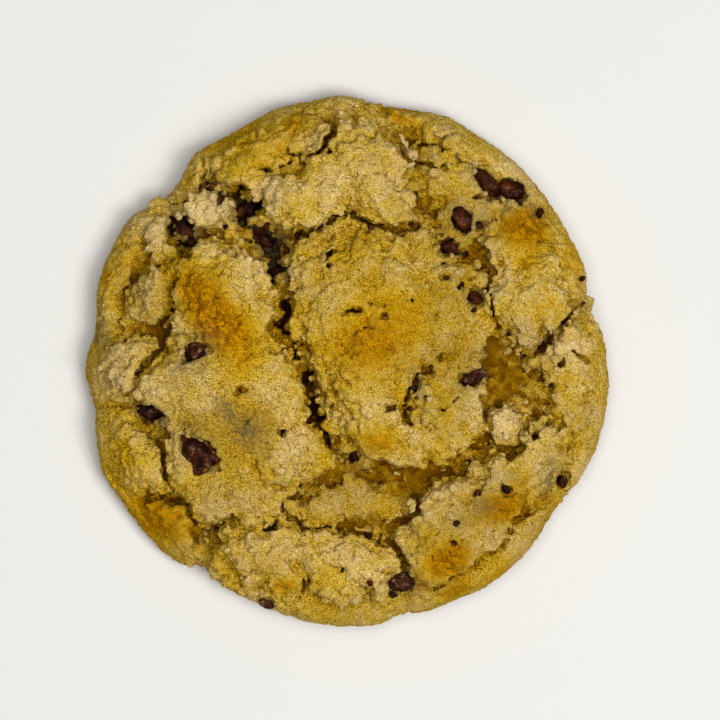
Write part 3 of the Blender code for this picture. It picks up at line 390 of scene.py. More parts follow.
VOXEL = 0.36
REACH = 54.4                # half the grid's width
FLOOR_ROOM = 1.2            # grid kept under the underside
PLAN = np.arange(-REACH, REACH, VOXEL)
LEVELS = np.arange(-FLOOR_ROOM, CAD_TOP + 2.4, VOXEL)
PLAN_X = PLAN[:, None]
PLAN_Y = PLAN[None, :]
UP = LEVELS[None, None, :].astype(np.float32)
SHAPE = (len(PLAN), len(PLAN), len(LEVELS))


def spline_weights(places, cell):
    """Rows of cubic B-spline weights that spread random lattice values over places."""
    along = places / cell
    first = np.floor(along).astype(int)
    part = along - first
    weights = ((1 - part) ** 3, 3 * part ** 3 - 6 * part ** 2 + 4,
               -3 * part ** 3 + 3 * part ** 2 + 3 * part + 1, part ** 3)
    columns = first - first.min()
    rows = np.zeros((len(places), columns.max() + 4), dtype=np.float32)
    for step, weight in enumerate(weights):
        rows[np.arange(len(places)), columns + step] = weight / 6.0
    return rows


def noise(cell, seed, flat=False):
    """Smooth random relief over the grid, with bumps about a cell wide and a spread of 1."""
    random = np.random.default_rng(seed)
    across = spline_weights(PLAN + REACH, cell)
    if flat:
        lattice = random.normal(size=(across.shape[1],) * 2).astype(np.float32)
        field = across @ lattice @ across.T
    else:
        upward = spline_weights(LEVELS + FLOOR_ROOM, cell)
        lattice = random.normal(size=(across.shape[1], across.shape[1], upward.shape[1]))
        field = np.einsum("ia,abc->ibc", across, lattice.astype(np.float32), optimize=True)
        field = np.einsum("jb,ibc->ijc", across, field, optimize=True)
        field = np.einsum("kc,ijc->ijk", upward, field, optimize=True)
    return field / field.std()


def soft_min(first, second, blend):
    """The smaller of two distances, with a fillet about blend wide."""
    share = np.clip(0.5 + 0.5 * (second - first) / blend, 0.0, 1.0)
    return second + (first - second) * share - blend * share * (1.0 - share)


def soft_max(first, second, blend):
    """The larger of two distances, with an edge rounded about blend wide."""
    return -soft_min(-first, -second, blend)


def step_between(low, high, value):
    """0 up to low, 1 from high, and smooth between them. With low over high it falls instead."""
    share = np.clip((value - low) / (high - low), 0.0, 1.0)
    return share * share * (3.0 - 2.0 * share)


# ---------------------------------------------------------------- the dough's form

def angle_between(first, second):
    """Degrees between two directions, at most 180."""
    return np.abs((first - second + 180.0) % 360.0 - 180.0)


def rim_radius(degrees):
    """Distance from the middle to the widest line, in one direction."""
    radius = np.full(np.shape(degrees), MEAN_RADIUS)
    for direction, half_width, out in RIM_LOBES:
        radius += out * np.exp(-(angle_between(degrees, direction) / half_width) ** 2)
    return radius


def dome_power(degrees):
    """How square the shoulder is in one direction."""
    share = np.exp(-(angle_between(degrees, SLACK_ANGLE) / SLACK_SPREAD) ** 2)
    return DOME_POWER + (SLACK_POWER - DOME_POWER) * share


DEGREES = np.degrees(np.arctan2(PLAN_Y, PLAN_X))
FROM_MIDDLE = np.hypot(PLAN_X, PLAN_Y)
RIM = rim_radius(DEGREES)
POWER = dome_power(DEGREES)
SHARE = FROM_MIDDLE / RIM
FADE = step_between(0.0, 1.0, (CRACK_FADE[0] - SHARE) / (CRACK_FADE[0] - CRACK_FADE[1]))


def dome_distance():
    """Distance to the unbroken dome, negative inside it."""
    tall = CROWN - WIDEST_HEIGHT
    under = np.clip((WIDEST_HEIGHT - UP) / WIDEST_HEIGHT, 0.0, 1.0)
    tuck = FOOT * (1.0 - np.sqrt(1.0 - under ** 2))
    reach = (RIM[:, :, None] - tuck).astype(np.float32)
    share = np.maximum(FROM_MIDDLE[:, :, None] / reach, 1e-3).astype(np.float32)
    power = POWER[:, :, None].astype(np.float32)
    above = np.clip(UP - WIDEST_HEIGHT, 0.0, None) / tall
    level = share ** power + above ** 2 - 1.0
    steep = np.hypot(power * share ** (power - 1.0) / reach, 2.0 * above / tall)
    return np.clip(level / np.maximum(steep, 0.02), -30.0, 30.0).astype(np.float32)


def outline_depth(outline, x, y):
    """Distance into an outline from its edge, negative outside it."""
    nearest = np.full(np.broadcast(x, y).shape, np.inf)
    inside = np.zeros(nearest.shape, dtype=bool)
    for (ax, ay), (bx, by) in zip(outline, outline[1:] + outline[:1]):
        along_x, along_y = bx - ax, by - ay
        share = ((x - ax) * along_x + (y - ay) * along_y) / (along_x ** 2 + along_y ** 2)
        share = np.clip(share, 0.0, 1.0)
        nearest = np.minimum(nearest, np.hypot(x - ax - share * along_x, y - ay - share * along_y))
        if ay != by:
            inside ^= ((ay > y) != (by > y)) & (x < ax + (y - ay) * along_x / along_y)
    return np.where(inside, nearest, -nearest)


def window(low, high, places):
    """The slice of the grid between two places along one axis."""
    return slice(int(np.searchsorted(places, low)), int(np.searchsorted(places, high)))


def add_plates(distance, dome, ragged, bent):
    """The broken plates, each standing over the dome inside its own outline."""
    for _, lift, rounding, undercut, outline in PLATES:
        points = np.array(outline)
        low, high = points.min(axis=0) - 4.0, points.max(axis=0) + 4.0
        part = (window(low[0], high[0], PLAN), window(low[1], high[1], PLAN))
        depth = outline_depth(outline, bent[0][part], bent[1][part])[:, :, None]
        rise = lift * FADE[part][:, :, None] + BULGE * FADE[part][:, :, None] * (
            1.0 - np.exp(-np.clip(depth, 0.0, None) / BULGE_REACH))
        top = dome[part] - rise.astype(np.float32)
        side = -depth + SHRINK + ragged[part] - undercut * top
        plate = soft_max(top, side, 1.2 * rounding)
        distance[part] = soft_min(distance[part], plate, 0.35)
    return distance


def line_distance(points, x, y):
    """Distance from places to a broken line."""
    nearest = np.full(np.broadcast(x, y).shape, np.inf)
    for (ax, ay), (bx, by) in zip(points, points[1:]):
        along_x, along_y = bx - ax, by - ay
        share = ((x - ax) * along_x + (y - ay) * along_y) / (along_x ** 2 + along_y ** 2)
        share = np.clip(share, 0.0, 1.0)
        nearest = np.minimum(nearest, np.hypot(x - ax - share * along_x, y - ay - share * along_y))
    return nearest


def patch_share(across, along, half_width, half_height, turn):
    """How far a place lies in an oval patch, from 1 in its middle to 0 outside."""
    cos, sin = math.cos(math.radians(turn)), math.sin(math.radians(turn))
    first = (across * cos + along * sin) / half_width
    second = (along * cos - across * sin) / half_height
    return np.exp(-0.7 * (first ** 2 + second ** 2))


def cut_cracks(distance, dome, ragged, bent, uneven):
    """The cracks, as wedges open to the top."""
    for half_width, deep, points in CRACKS:
        ends = np.array(points)
        room = 2.0 + 2.5 * half_width
        low, high = ends.min(axis=0) - room, ends.max(axis=0) + room
        part = (window(low[0], high[0], PLAN), window(low[1], high[1], PLAN))
        away = line_distance(points, bent[0][part], bent[1][part])
        wide = half_width * np.clip(1.1 + 0.45 * uneven[part], 0.4, 1.8)
        cut_away(distance, dome, ragged, part, away, wide, deep)


def cut_holes(distance, dome, ragged):
    """The holes, narrower further down."""
    for x, y, radius, deep in HOLES:
        room = radius + 2.0
        part = (window(x - room, x + room, PLAN), window(y - room, y + room, PLAN))
        away = np.hypot(PLAN_X[part[0]] - x, PLAN_Y[:, part[1]] - y)
        cut_away(distance, dome, ragged, part, away, np.full(away.shape, radius), deep)


def cut_away(distance, dome, ragged, part, away, wide, deep):
    """Takes away what lies nearer than a width that shrinks down to a depth under the dome."""
    under = np.clip(-dome[part] / (deep * np.maximum(FADE[part], RIM_DEPTH))[:, :, None], 0.0, 1.0)
    rugged = np.minimum(0.55, 0.6 * wide)[:, :, None] * ragged[part]
    wedge = away[:, :, None] + rugged - wide[:, :, None] * np.sqrt(1.0 - under)
    wedge = np.maximum(wedge + 2.0 * (under >= 1.0), BASE - UP)
    distance[part] = soft_max(distance[part], -wedge.astype(np.float32), 0.2)


def chip_places(heights):
    """Each chip's middle and half sizes, sunk into the dough under it."""
    places = {}
    for name, (shift_x, shift_y, half_length, half_width, turn, sink, _) in CHIPS.items():
        low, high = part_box(name)
        x = (low[0] + high[0]) / 2.0 / MM + shift_x
        y = (low[1] + high[1]) / 2.0 / MM + shift_y
        half_height = 0.75 * half_width
        z = max(float(at(heights, x, y)) - sink - half_height, 1.4 * half_height + 1.0)
        places[name] = (x, y, z, half_length, half_width, half_height, turn)
    return places


def bit_places(heights):
    """The same for the small bits of chip."""
    return [(x, y, max(float(at(heights, x, y)) - BIT_SINK - 0.8 * radius, 1.2 * radius), 1.15 * radius,
             0.9 * radius, 0.8 * radius, 47.0 * place) for place, (x, y, radius) in enumerate(CHIP_BITS)]


def cut_pockets(distance, places, ragged):
    """Room for the chips, open upwards."""
    for x, y, z, half_length, half_width, half_height, turn in places:
        room = half_length + 2.5
        part = (window(x - room, x + room, PLAN), window(y - room, y + room, PLAN))
        cos, sin = math.cos(math.radians(turn)), math.sin(math.radians(turn))
        across, along = PLAN_X[part[0]] - x, PLAN_Y[:, part[1]] - y
        first = (across * cos + along * sin) / (half_length + POCKET_GAP)
        second = (along * cos - across * sin) / (half_width + POCKET_GAP)
        third = np.minimum(UP - z, 0.0) / (half_height + POCKET_GAP)
        share = np.sqrt((first ** 2 + second ** 2)[:, :, None] + third ** 2)
        pocket = np.maximum((share - 1.0) * half_width + 0.6 * ragged[part], 0.5 * BASE - UP)
        distance[part] = soft_max(distance[part], -pocket.astype(np.float32), 0.15)


def add_lumps(distance, lumps, blend):
    """Small lumps: x, y, z and radius of each."""
    for x, y, z, radius in lumps:
        room = radius + 1.2
        part = (window(x - room, x + room, PLAN), window(y - room, y + room, PLAN),
                window(z - room, z + room, LEVELS))
        lump = np.sqrt((PLAN_X[part[0]][:, :, None] - x) ** 2
                       + (PLAN_Y[:, part[1]][:, :, None] - y) ** 2
                       + (UP[:, :, part[2]] - z) ** 2) - radius
        distance[part] = soft_min(distance[part], lump.astype(np.float32), blend)


def top_heights(distance):
    """Height of the topmost surface over each place of the plan, 0 outside the rim."""
    solid = distance < 0.0
    highest = SHAPE[2] - 1 - np.argmax(solid[:, :, ::-1], axis=2)
    return np.where(solid.any(axis=2), LEVELS[highest] + 0.5 * VOXEL, 0.0)


def at(plan, x, y):
    """Values of a plan map at places."""
    column = np.clip(((np.asarray(x) + REACH) / VOXEL + 0.5).astype(int), 0, SHAPE[0] - 1)
    row = np.clip(((np.asarray(y) + REACH) / VOXEL + 0.5).astype(int), 0, SHAPE[1] - 1)
    return plan[column, row]


def edge_crumbs(heights, random):
    """Lumps along the plates' broken edges, which make them ragged."""
    lumps = []
    for _, _, _, _, outline in PLATES:
        for (ax, ay), (bx, by) in zip(outline, outline[1:] + outline[:1]):
            length = math.hypot(bx - ax, by - ay)
            for _ in range(max(1, int(length / 0.45))):
                share = random.random()
                x = ax + (bx - ax) * share + random.normal() * 0.8
                y = ay + (by - ay) * share + random.normal() * 0.8
                if math.hypot(x, y) > 0.88 * MEAN_RADIUS:
                    continue
                radius = 0.35 + 0.7 * random.random() ** 2
                top = float(at(heights, x, y))
                lumps.append((x, y, top - radius * (0.1 + 0.8 * random.random()), radius))
    return lumps


def rubble(heights, ground, where, count, smallest, largest, random):
    """Lumps on the floor of the cracks, where a plan map allows them."""
    inside = np.argwhere((ground - heights > CRACKED) & (SHARE < 0.93) & where)
    lumps = []
    for column, row in inside[random.integers(len(inside), size=count)]:
        radius = smallest + (largest - smallest) * random.random() ** 2
        sink = radius * (0.4 + 0.5 * random.random())
        lumps.append((PLAN[column], PLAN[row], heights[column, row] - sink, radius))
    return lumps


def clots(heights, ground, smooth, count, smallest, largest, bare, reach, random):
    """Clots of dough on the plates, fewer where the crust is smooth."""
    lumps = []
    for _ in range(count):
        turn = random.random() * 2.0 * math.pi
        out = reach * MEAN_RADIUS * math.sqrt(random.random())
        x, y = out * math.cos(turn), out * math.sin(turn)
        radius = smallest + (largest - smallest) * random.random() ** 2
        sink = 1.0 - bare * (0.5 + random.random())
        top = float(at(heights, x, y))
        if random.random() < float(at(smooth, x, y)) or float(at(ground, x, y)) - top > CRACKED or top < 3.0:
            continue
        lumps.append((x, y, top - radius * sink, radius))
    return lumps


def blurred(field, reach):
    """The field averaged over a cube that reaches so many cells each way."""
    for axis in range(3):
        padded = np.concatenate((np.repeat(np.take(field, [0], axis), reach + 1, axis), field,
                                 np.repeat(np.take(field, [-1], axis), reach, axis)), axis)
        running = np.cumsum(padded, axis, dtype=np.float32)
        count = field.shape[axis]
        field = (np.take(running, np.arange(2 * reach + 1, 2 * reach + 1 + count), axis)
                 - np.take(running, np.arange(count), axis)) / (2 * reach + 1)
    return field


def patches_at(patches, x, y):
    """How far each place lies in a table's patches, from 0 to each patch's strength."""
    share = np.zeros(np.broadcast(x, y).shape)
    for middle_x, middle_y, half_width, half_height, turn, strength in patches:
        there = patch_share(x - middle_x, y - middle_y, half_width, half_height, turn)
        share = np.maximum(share, strength * there)
    return share


def dough_field():
    """Distance to the dough's surface over the grid, what it was made from, and the chips' places."""
    dome = dome_distance()
    swell = np.zeros(SHAPE[:2])
    for middle_x, middle_y, half_width, half_height, turn, height in SWELLS:
        swell += height * patch_share(PLAN_X - middle_x, PLAN_Y - middle_y, half_width, half_height, turn)
    swell += 0.5 * patches_at(TOAST_PATCHES, PLAN_X, PLAN_Y)
    outer = dome.copy()
    dome -= (swell * FADE)[:, :, None].astype(np.float32)
    steady = (0.55 + 0.45 * FADE)[:, :, None].astype(np.float32)
    dome += steady * (0.55 * noise(8.0, 1) + 0.40 * noise(4.2, 8))
    ragged = 0.4 * noise(3.0, 2) + 0.45 * noise(1.3, 3)
    floor = dome + (GAP_DEPTH * FADE)[:, :, None].astype(np.float32)
    floor += (FADE[:, :, None] * (0.7 * noise(3.4, 4) + 0.4 * noise(1.7, 14))).astype(np.float32)
    distance = np.full(SHAPE, 30.0, dtype=np.float32)
    bent = [place + 0.7 * noise(3.2, seed, flat=True) + 0.4 * noise(1.5, seed + 1, flat=True)
            for place, seed in ((PLAN_X, 31), (PLAN_Y, 33))]
    distance = add_plates(distance, dome, ragged, bent)
    distance = soft_min(distance, floor, 0.9)

    random = np.random.default_rng(11)
    smooth = patches_at(SMOOTH_PATCHES, PLAN_X, PLAN_Y)
    ground = top_heights(dome)
    heights = top_heights(distance)
    add_lumps(distance, clots(heights, ground, smooth, 300, 2.0, 4.4, 0.16, 0.84, random), 0.4)
    add_lumps(distance, edge_crumbs(top_heights(distance), random), 0.2)
    heights = top_heights(distance)
    add_lumps(distance, clots(heights, ground, smooth, 3600, 0.9, 2.0, 0.15, 0.94, random), 0.2)
    heights = top_heights(distance)
    add_lumps(distance, clots(heights, ground, smooth, 9000, 0.45, 0.9, 0.27, 0.98, random), 0.15)
    cut_cracks(distance, dome, ragged, bent, noise(4.0, 12, flat=True))
    hollows = swell < -1.2
    add_lumps(distance, rubble(top_heights(distance), ground, hollows, 160, 1.2, 2.8, random), 0.3)
    add_lumps(distance, rubble(top_heights(distance), ground, True, 2000, 0.4, 1.2, random), 0.2)
    cut_holes(distance, dome, ragged)
    heights = top_heights(distance)
    chips, bits = chip_places(heights), bit_places(heights)
    cut_pockets(distance, list(chips.values()) + bits, ragged)

    rough = 1.0 - 0.95 * smooth + 0.9 * step_between(1.2, 2.4, ground - heights)
    rough = np.broadcast_to(rough[:, :, None], SHAPE)
    groove = np.clip(1.0 - np.abs(noise(5.0, 9)) / 0.10, 0.0, 1.0) * step_between(0.2, 0.8, noise(4.0, 10))
    distance += (0.5 * rough * groove).astype(np.float32)
    near = np.nonzero(np.abs(distance) < 1.2)
    warp = np.stack((noise(1.8, 5)[near], noise(1.8, 6)[near], noise(1.8, 7)[near]), axis=1)
    places = np.stack(near, axis=1) * VOXEL + 0.3 * warp
    for width, height, seed in CRUMB_RELIEF:
        distance[near] -= height * rough[near] * (packed_crumbs(places, width, seed) - 0.55)
    distance = np.maximum(distance, -UP)
    return distance, outer, dome, chips, bits, bent, ragged


def packed_crumbs(places, width, seed):
    """Height of round crumbs packed side by side at places, from 0 between them to 1."""
    random = np.random.default_rng(seed)
    places = places / width + 2.0
    count = (np.array(SHAPE) * VOXEL / width).astype(int) + 6
    middles = random.random((*count, 3)).astype(np.float32)
    sizes = (0.22 + 0.36 * random.random(count)).astype(np.float32)
    first = np.floor(places).astype(int)
    tallest = np.zeros(len(places), dtype=np.float32)
    for step in itertools.product((-1, 0, 1), repeat=3):
        cell = first + step
        index = tuple(cell.T)
        away = ((places - cell - middles[index]) ** 2).sum(axis=1) / sizes[index]
        tallest = np.maximum(tallest, 1.0 - away)
    return np.sqrt(tallest)


def halves(distance, bent, ragged):
    """The dough's two pieces, which dip a little where they meet and lap past that line."""
    west = SEAM + ((-60.0, -60.0), (-60.0, 60.0))
    inside = (outline_depth(west, *bent)[:, :, None] + 0.7 * ragged).astype(np.float32)
    for name, depth in (("cookie_west", inside), ("cookie_east", -inside)):
        half = distance + 0.25 * SEAM_LAP * np.clip(1.0 - depth / SEAM_LAP, 0.0, 2.0)
        yield name, np.maximum(half, -depth - SEAM_LAP)


def mesh_from_field(distance):
    """Points in millimetres and four-cornered faces of the surface at distance 0."""
    band = 3.0 * VOXEL
    grid = openvdb.FloatGrid(band)
    grid.copyFromArray(np.clip(distance, -band, band).astype(np.float32))
    points, quads = grid.convertToQuads(isovalue=0.0)
    return points * VOXEL - np.array([REACH, REACH, FLOOR_ROOM]), quads


def make_mesh(name, points, faces):
    """A mesh in metres from points in millimetres."""
    mesh = bpy.data.meshes.new(name)
    mesh.from_pydata((points * MM).tolist(), [], faces.tolist())
    mesh.update()
    return mesh


def link(name, mesh, material):
    """An object of the scene that holds a mesh."""
    piece = bpy.data.objects.new(name, mesh)
    bpy.context.scene.collection.objects.link(piece)
    if material is not None:
        mesh.materials.append(material)
    mesh.shade_smooth()
    return piece


# ---------------------------------------------------------------- materials

def principled(name, colour, roughness):
    """A Principled material and the nodes it starts with."""
    material = bpy.data.materials.new(name)
    material.use_nodes = True
    shader = material.node_tree.nodes["Principled BSDF"]
    shader.inputs["Base Color"].default_value = (*colour, 1.0)
    shader.inputs["Roughness"].default_value = roughness
    return material, material.node_tree, shader


def add_node(tree, kind, inputs=(), **settings):
    """A shader node: inputs are values or other nodes' sockets, by name or number."""
    node = tree.nodes.new(kind)
    for name, value in settings.items():
        setattr(node, name, value)
    for name, value in dict(inputs).items():
        if isinstance(value, bpy.types.NodeSocket):
            tree.links.new(value, node.inputs[name])
        else:
            node.inputs[name].default_value = value
    return node


def math_node(tree, operation, first, second=0.0, third=0.0, clamp=False):
    """One step of arithmetic on sockets or numbers."""
    return add_node(tree, "ShaderNodeMath", {0: first, 1: second, 2: third}, operation=operation,
                    use_clamp=clamp).outputs[0]


def noise_node(tree, place, width, detail, roughness=0.55):
    """Noise with bumps about width millimetres wide, as its factor."""
    node = add_node(tree, "ShaderNodeTexNoise", {"Vector": place, "Scale": 1.0 / (width * MM),
                                                 "Detail": detail, "Roughness": roughness})
    return node.outputs["Fac"]


def ramp_node(tree, value, low, high):
    """0 up to low, 1 from high, and a straight line between them. It falls if low is over high."""
    node = add_node(tree, "ShaderNodeMapRange", {"Value": value, "From Min": low, "From Max": high},
                    clamp=True)
    return node.outputs["Result"]


def mix_node(tree, share, first, second):
    """A colour between two colours."""
    node = add_node(tree, "ShaderNodeMix", data_type="RGBA")
    for name, value in (("Factor", share), ("A", first), ("B", second)):
        socket = [each for each in node.inputs if each.name == name and each.enabled][0]
        if isinstance(value, bpy.types.NodeSocket):
            tree.links.new(value, socket)
        elif name == "Factor":
            socket.default_value = value
        else:
            socket.default_value = (*value, 1.0)
    return [each for each in node.outputs if each.enabled][0]


# Colours of the dough, from the palest crumbs to the painted shade far down in the cracks
CRUMB = (0.68, 0.50, 0.215)
CREAM = (0.59, 0.41, 0.110)
GOLDEN = (0.53, 0.335, 0.018)
AMBER = (0.47, 0.25, 0.001)
# Painted shade, for creases and hollows
CREASE_SHADE = (0.150, 0.050, 0.0002)
TOASTED = (0.51, 0.24, 0.001)
SCORCHED = (0.26, 0.095, 0.0005)
# The inner dough's brown, darkened as painted shade in the cracks
INNER_SHADE = (0.15, 0.060, 0.0003)
# Painted shadow, far down in the cracks and in the pinholes
SHADOW_BLACK = (0.020, 0.005, 0.0005)
FILM = (0.112, 0.090, 0.044)
# Painted shade, for patches of low or shadowed dough
PAINTED_SHADE = (0.14, 0.065, 0.003)

# Colours of the chocolate
DARK_CHOCOLATE = (0.013, 0.003, 0.0006)
CHOCOLATE = (0.078, 0.016, 0.003)
FLOURY = (0.21, 0.15, 0.07)
CHOCOLATE_ROUGHNESS = 0.42


def ramp_colours(tree, value, stops):
    """A colour that follows a value through stops of (position, colour)."""
    node = add_node(tree, "ShaderNodeValToRGB", {"Fac": value})
    ramp = node.color_ramp
    while len(ramp.elements) < len(stops):
        ramp.elements.new(0.5)
    for element, (position, colour) in zip(ramp.elements, stops):
        element.position = position
        element.color = (*colour, 1.0)
    return node.outputs["Color"]


def weigh(tree, *terms):
    """The sum of pairs of a value and its weight, on top of a half."""
    total = 0.5
    for value, weight in terms:
        total = math_node(tree, "MULTIPLY_ADD", value, weight, total)
    return total


def dough_material():
    """Baked dough: pale crumbs on golden grain, toasted patches and grey film, with painted shade in the
    creases, in patches, in the cracks and in pinholes.
    """
    material, tree, shader = principled("dough", GOLDEN, 0.9)
    shader.inputs["Specular IOR Level"].default_value = 0.0
    place = add_node(tree, "ShaderNodeTexCoord").outputs["Object"]
    toast, pale, dull, inner, deep, smear, crease, dip, hollow, basin = (
        add_node(tree, "ShaderNodeAttribute", attribute_name=name).outputs["Fac"]
        for name in ("toast", "pale", "dull", "inner", "deep", "smear", "crease", "dip", "hollow", "basin"))
    fine = centred(tree, noise_node(tree, place, 0.29, 1.0, 0.6))
    grain = centred(tree, noise_node(tree, place, 0.8, 2.0, 0.7))
    blotch = centred(tree, noise_node(tree, place, 2.2, 2.0, 0.6))
    region = centred(tree, noise_node(tree, place, 8.0, 1.0, 0.5))

    # Golden and cream blotches, with painted shade: hollows lean amber and what stands out leans cream
    hue = weigh(tree, (blotch, 0.24), (region, 0.32), (fine, 0.45), (grain, 0.18), (pale, 0.11),
                (toast, -0.22), (crease, -0.01), (dip, -0.025), (hollow, -0.035), (basin, -0.04))
    colour = ramp_colours(tree, hue, ((0.36, AMBER), (0.50, GOLDEN), (0.62, CREAM), (0.76, CRUMB)))

    # Toasted patches, broken up by the grain, a little stronger in creases as painted shade
    browned = weigh(tree, (toast, 1.0), (fine, 1.2), (grain, 1.4), (blotch, 0.4), (crease, 0.04))
    browned = math_node(tree, "MULTIPLY", ramp_node(tree, browned, 0.70, 1.15),
                        ramp_node(tree, toast, 0.05, 0.5))
    unburnt = weigh(tree, (grain, 1.0), (fine, 0.6), (blotch, 0.8))
    roasted = mix_node(tree, ramp_node(tree, unburnt, 0.40, 0.62), SCORCHED, TOASTED)
    colour = mix_node(tree, browned, colour, roasted)

    # Painted shade in the creases between the grains and in hollows, broken up by random grain
    shade = weigh(tree, (fine, 0.5), (grain, 0.35), (crease, -0.04), (dip, -0.045), (hollow, -0.05),
                  (basin, -0.05))
    colour = mix_node(tree, ramp_node(tree, shade, 0.52, 0.26), colour, CREASE_SHADE)

    # Lighter and darker grains
    light = math_node(tree, "ADD", weigh(tree, (fine, 1.5), (grain, 0.20)), 0.47)
    scaled = add_node(tree, "ShaderNodeVectorMath", {0: colour, "Scale": light}, operation="SCALE")
    colour = scaled.outputs[0]

    # Painted shade in patches
    colour = mix_node(tree, math_node(tree, "MULTIPLY", dull, 0.40), colour, PAINTED_SHADE)

    # Brown inside the cracks, partly the inner dough's own colour and partly painted shade, and painted
    # shadow, black, far down
    browner = weigh(tree, (blotch, 1.6), (grain, 1.6), (fine, 0.8), (crease, 0.06), (dip, 0.14))
    browner = math_node(tree, "MULTIPLY", inner, ramp_node(tree, browner, 0.05, 0.85))
    colour = mix_node(tree, browner, colour, INNER_SHADE)
    colour = mix_node(tree, math_node(tree, "MULTIPLY", deep, 0.95), colour, SHADOW_BLACK)

    # Grey film
    film = ramp_node(tree, weigh(tree, (grain, 1.5), (blotch, 0.5)), 0.95, 0.25)
    film = math_node(tree, "MULTIPLY", smear, film)
    colour = mix_node(tree, film, colour, FILM)

    # Pinholes, painted as black dots of shade
    holes = add_node(tree, "ShaderNodeTexVoronoi", {"Vector": place, "Scale": 1.0 / (1.9 * MM),
                                                    "Randomness": 1.0}).outputs["Distance"]
    pinhole = math_node(tree, "MULTIPLY", ramp_node(tree, holes, 0.18, 0.10),
                        ramp_node(tree, blotch, -0.02, 0.04))
    colour = mix_node(tree, math_node(tree, "MULTIPLY", pinhole, 0.65), colour, SHADOW_BLACK)
    tree.links.new(colour, shader.inputs["Base Color"])

    # Relief finer than the mesh
    height = weigh(tree, (fine, 0.8), (grain, 0.3), (pinhole, -0.2))
    bump = add_node(tree, "ShaderNodeBump", {"Height": height, "Strength": 1.0, "Distance": 0.32 * MM})
    tree.links.new(bump.outputs["Normal"], shader.inputs["Normal"])
    return material


def chocolate_material():
    """Dark chocolate, melted and set again, with a floury film in places."""
    material, tree, shader = principled("chocolate", (0.04, 0.01, 0.003), CHOCOLATE_ROUGHNESS)
    shader.inputs["Specular IOR Level"].default_value = 0.08
    place = add_node(tree, "ShaderNodeTexCoord").outputs["Object"]
    film = add_node(tree, "ShaderNodeAttribute", attribute_name="film").outputs["Fac"]
    grain = centred(tree, noise_node(tree, place, 0.7, 2.0, 0.7))
    streak = centred(tree, noise_node(tree, place, 2.4, 2.0, 0.6))
    colour = mix_node(tree, ramp_node(tree, streak, -0.1, 0.15), DARK_CHOCOLATE, CHOCOLATE)
    cover = weigh(tree, (film, 0.6), (streak, 0.9), (grain, 0.7))
    cover = ramp_node(tree, cover, 0.70, 0.90)
    colour = mix_node(tree, cover, colour, FLOURY)
    tree.links.new(colour, shader.inputs["Base Color"])
    rough = math_node(tree, "MULTIPLY_ADD", cover, 0.4, CHOCOLATE_ROUGHNESS)
    tree.links.new(rough, shader.inputs["Roughness"])
    height = weigh(tree, (grain, 0.6), (streak, 0.4))
    bump = add_node(tree, "ShaderNodeBump", {"Height": height, "Strength": 0.7, "Distance": 0.5 * MM})
    tree.links.new(bump.outputs["Normal"], shader.inputs["Normal"])
    return material


def centred(tree, value):
    """A noise factor moved to lie around zero."""
    return math_node(tree, "SUBTRACT", value, 0.5)


def sample(field, points):
    """Values of a grid field at points in millimetres."""
    index = (points - np.array([-REACH, -REACH, -FLOOR_ROOM])) / VOXEL + 0.5
    index = np.clip(index.astype(int), 0, np.array(SHAPE) - 1)
    return field[index[:, 0], index[:, 1], index[:, 2]]


def chip_halo(chips, points):
    """How much chocolate has run into the dough at its points, from 0 to 1."""
    halo = np.zeros(len(points))
    for x, y, _, half_length, half_width, _, turn in chips.values():
        cos, sin = math.cos(math.radians(turn)), math.sin(math.radians(turn))
        across, along = points[:, 0] - x, points[:, 1] - y
        first = (across * cos + along * sin) / half_length
        second = (along * cos - across * sin) / half_width
        share = (np.sqrt(first ** 2 + second ** 2) - 1.0) * half_width
        halo = np.maximum(halo, 0.5 * step_between(1.3, 0.0, share))
    return halo


def cavity(field, points):
    """How hollow the surface is around its points, in spreads of the middle of the top."""
    hollow = -sample(field, points)
    top = hollow[points[:, 2] > 4.0]
    return np.clip((hollow - np.median(top)) / np.std(top), -2.5, 2.5) * off_floor(points)


def off_floor(points):
    """0 on the underside and 1 a little over it."""
    return step_between(0.4, 1.6, points[:, 2])


def paint(mesh, **values):
    """Store one number per point for the material."""
    for name, numbers in values.items():
        layer = mesh.attributes.new(name, "FLOAT", "POINT")
        layer.data.foreach_set("value", np.asarray(numbers, dtype=np.float32))


def lightened(mesh, most):
    """The mesh with at most so many triangles, most of them where it bends."""
    heavy = bpy.data.objects.new("heavy", mesh)
    bpy.context.scene.collection.objects.link(heavy)
    fewer = heavy.modifiers.new("fewer", "DECIMATE")
    fewer.ratio = min(1.0, most / (2 * len(mesh.polygons)))
    ready = heavy.evaluated_get(bpy.context.evaluated_depsgraph_get())
    light = bpy.data.meshes.new_from_object(ready)
    bpy.data.objects.remove(heavy)
    bpy.data.meshes.remove(mesh)
    return light


def mesh_points(mesh):
    """The points of a mesh, in millimetres."""
    flat = np.empty(len(mesh.vertices) * 3, dtype=np.float32)
    mesh.vertices.foreach_get("co", flat)
    return flat.reshape(-1, 3) / MM


def under_top(points):
    """The same points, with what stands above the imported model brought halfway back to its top."""
    x, y, z = points.T
    return np.column_stack((x, y, np.minimum(z, 0.5 * (z + CAD_TOP))))


def grain(mesh, points):
    """Moves each point of the top along its normal, for grain finer than the grid."""
    normals = np.empty(len(points) * 3, dtype=np.float32)
    mesh.vertices.foreach_get("normal", normals)
    rough = 1.0 - 0.8 * patches_at(SMOOTH_PATCHES, *points.T[:2])
    places = points + np.array([REACH, REACH, FLOOR_ROOM])
    out = GRAIN_HEIGHT * rough * (packed_crumbs(places, GRAIN_WIDTH, 23) - 0.55)
    out += GRIT * np.clip(np.random.default_rng(12).normal(size=len(points)), -2.0, 2.0)
    out *= np.clip(points[:, 2] / 2.0, 0.0, 1.0)
    moved = under_top(points + normals.reshape(-1, 3) * out[:, None])
    mesh.vertices.foreach_set("co", (moved * MM).astype(np.float32).ravel())
    mesh.update()
    return out


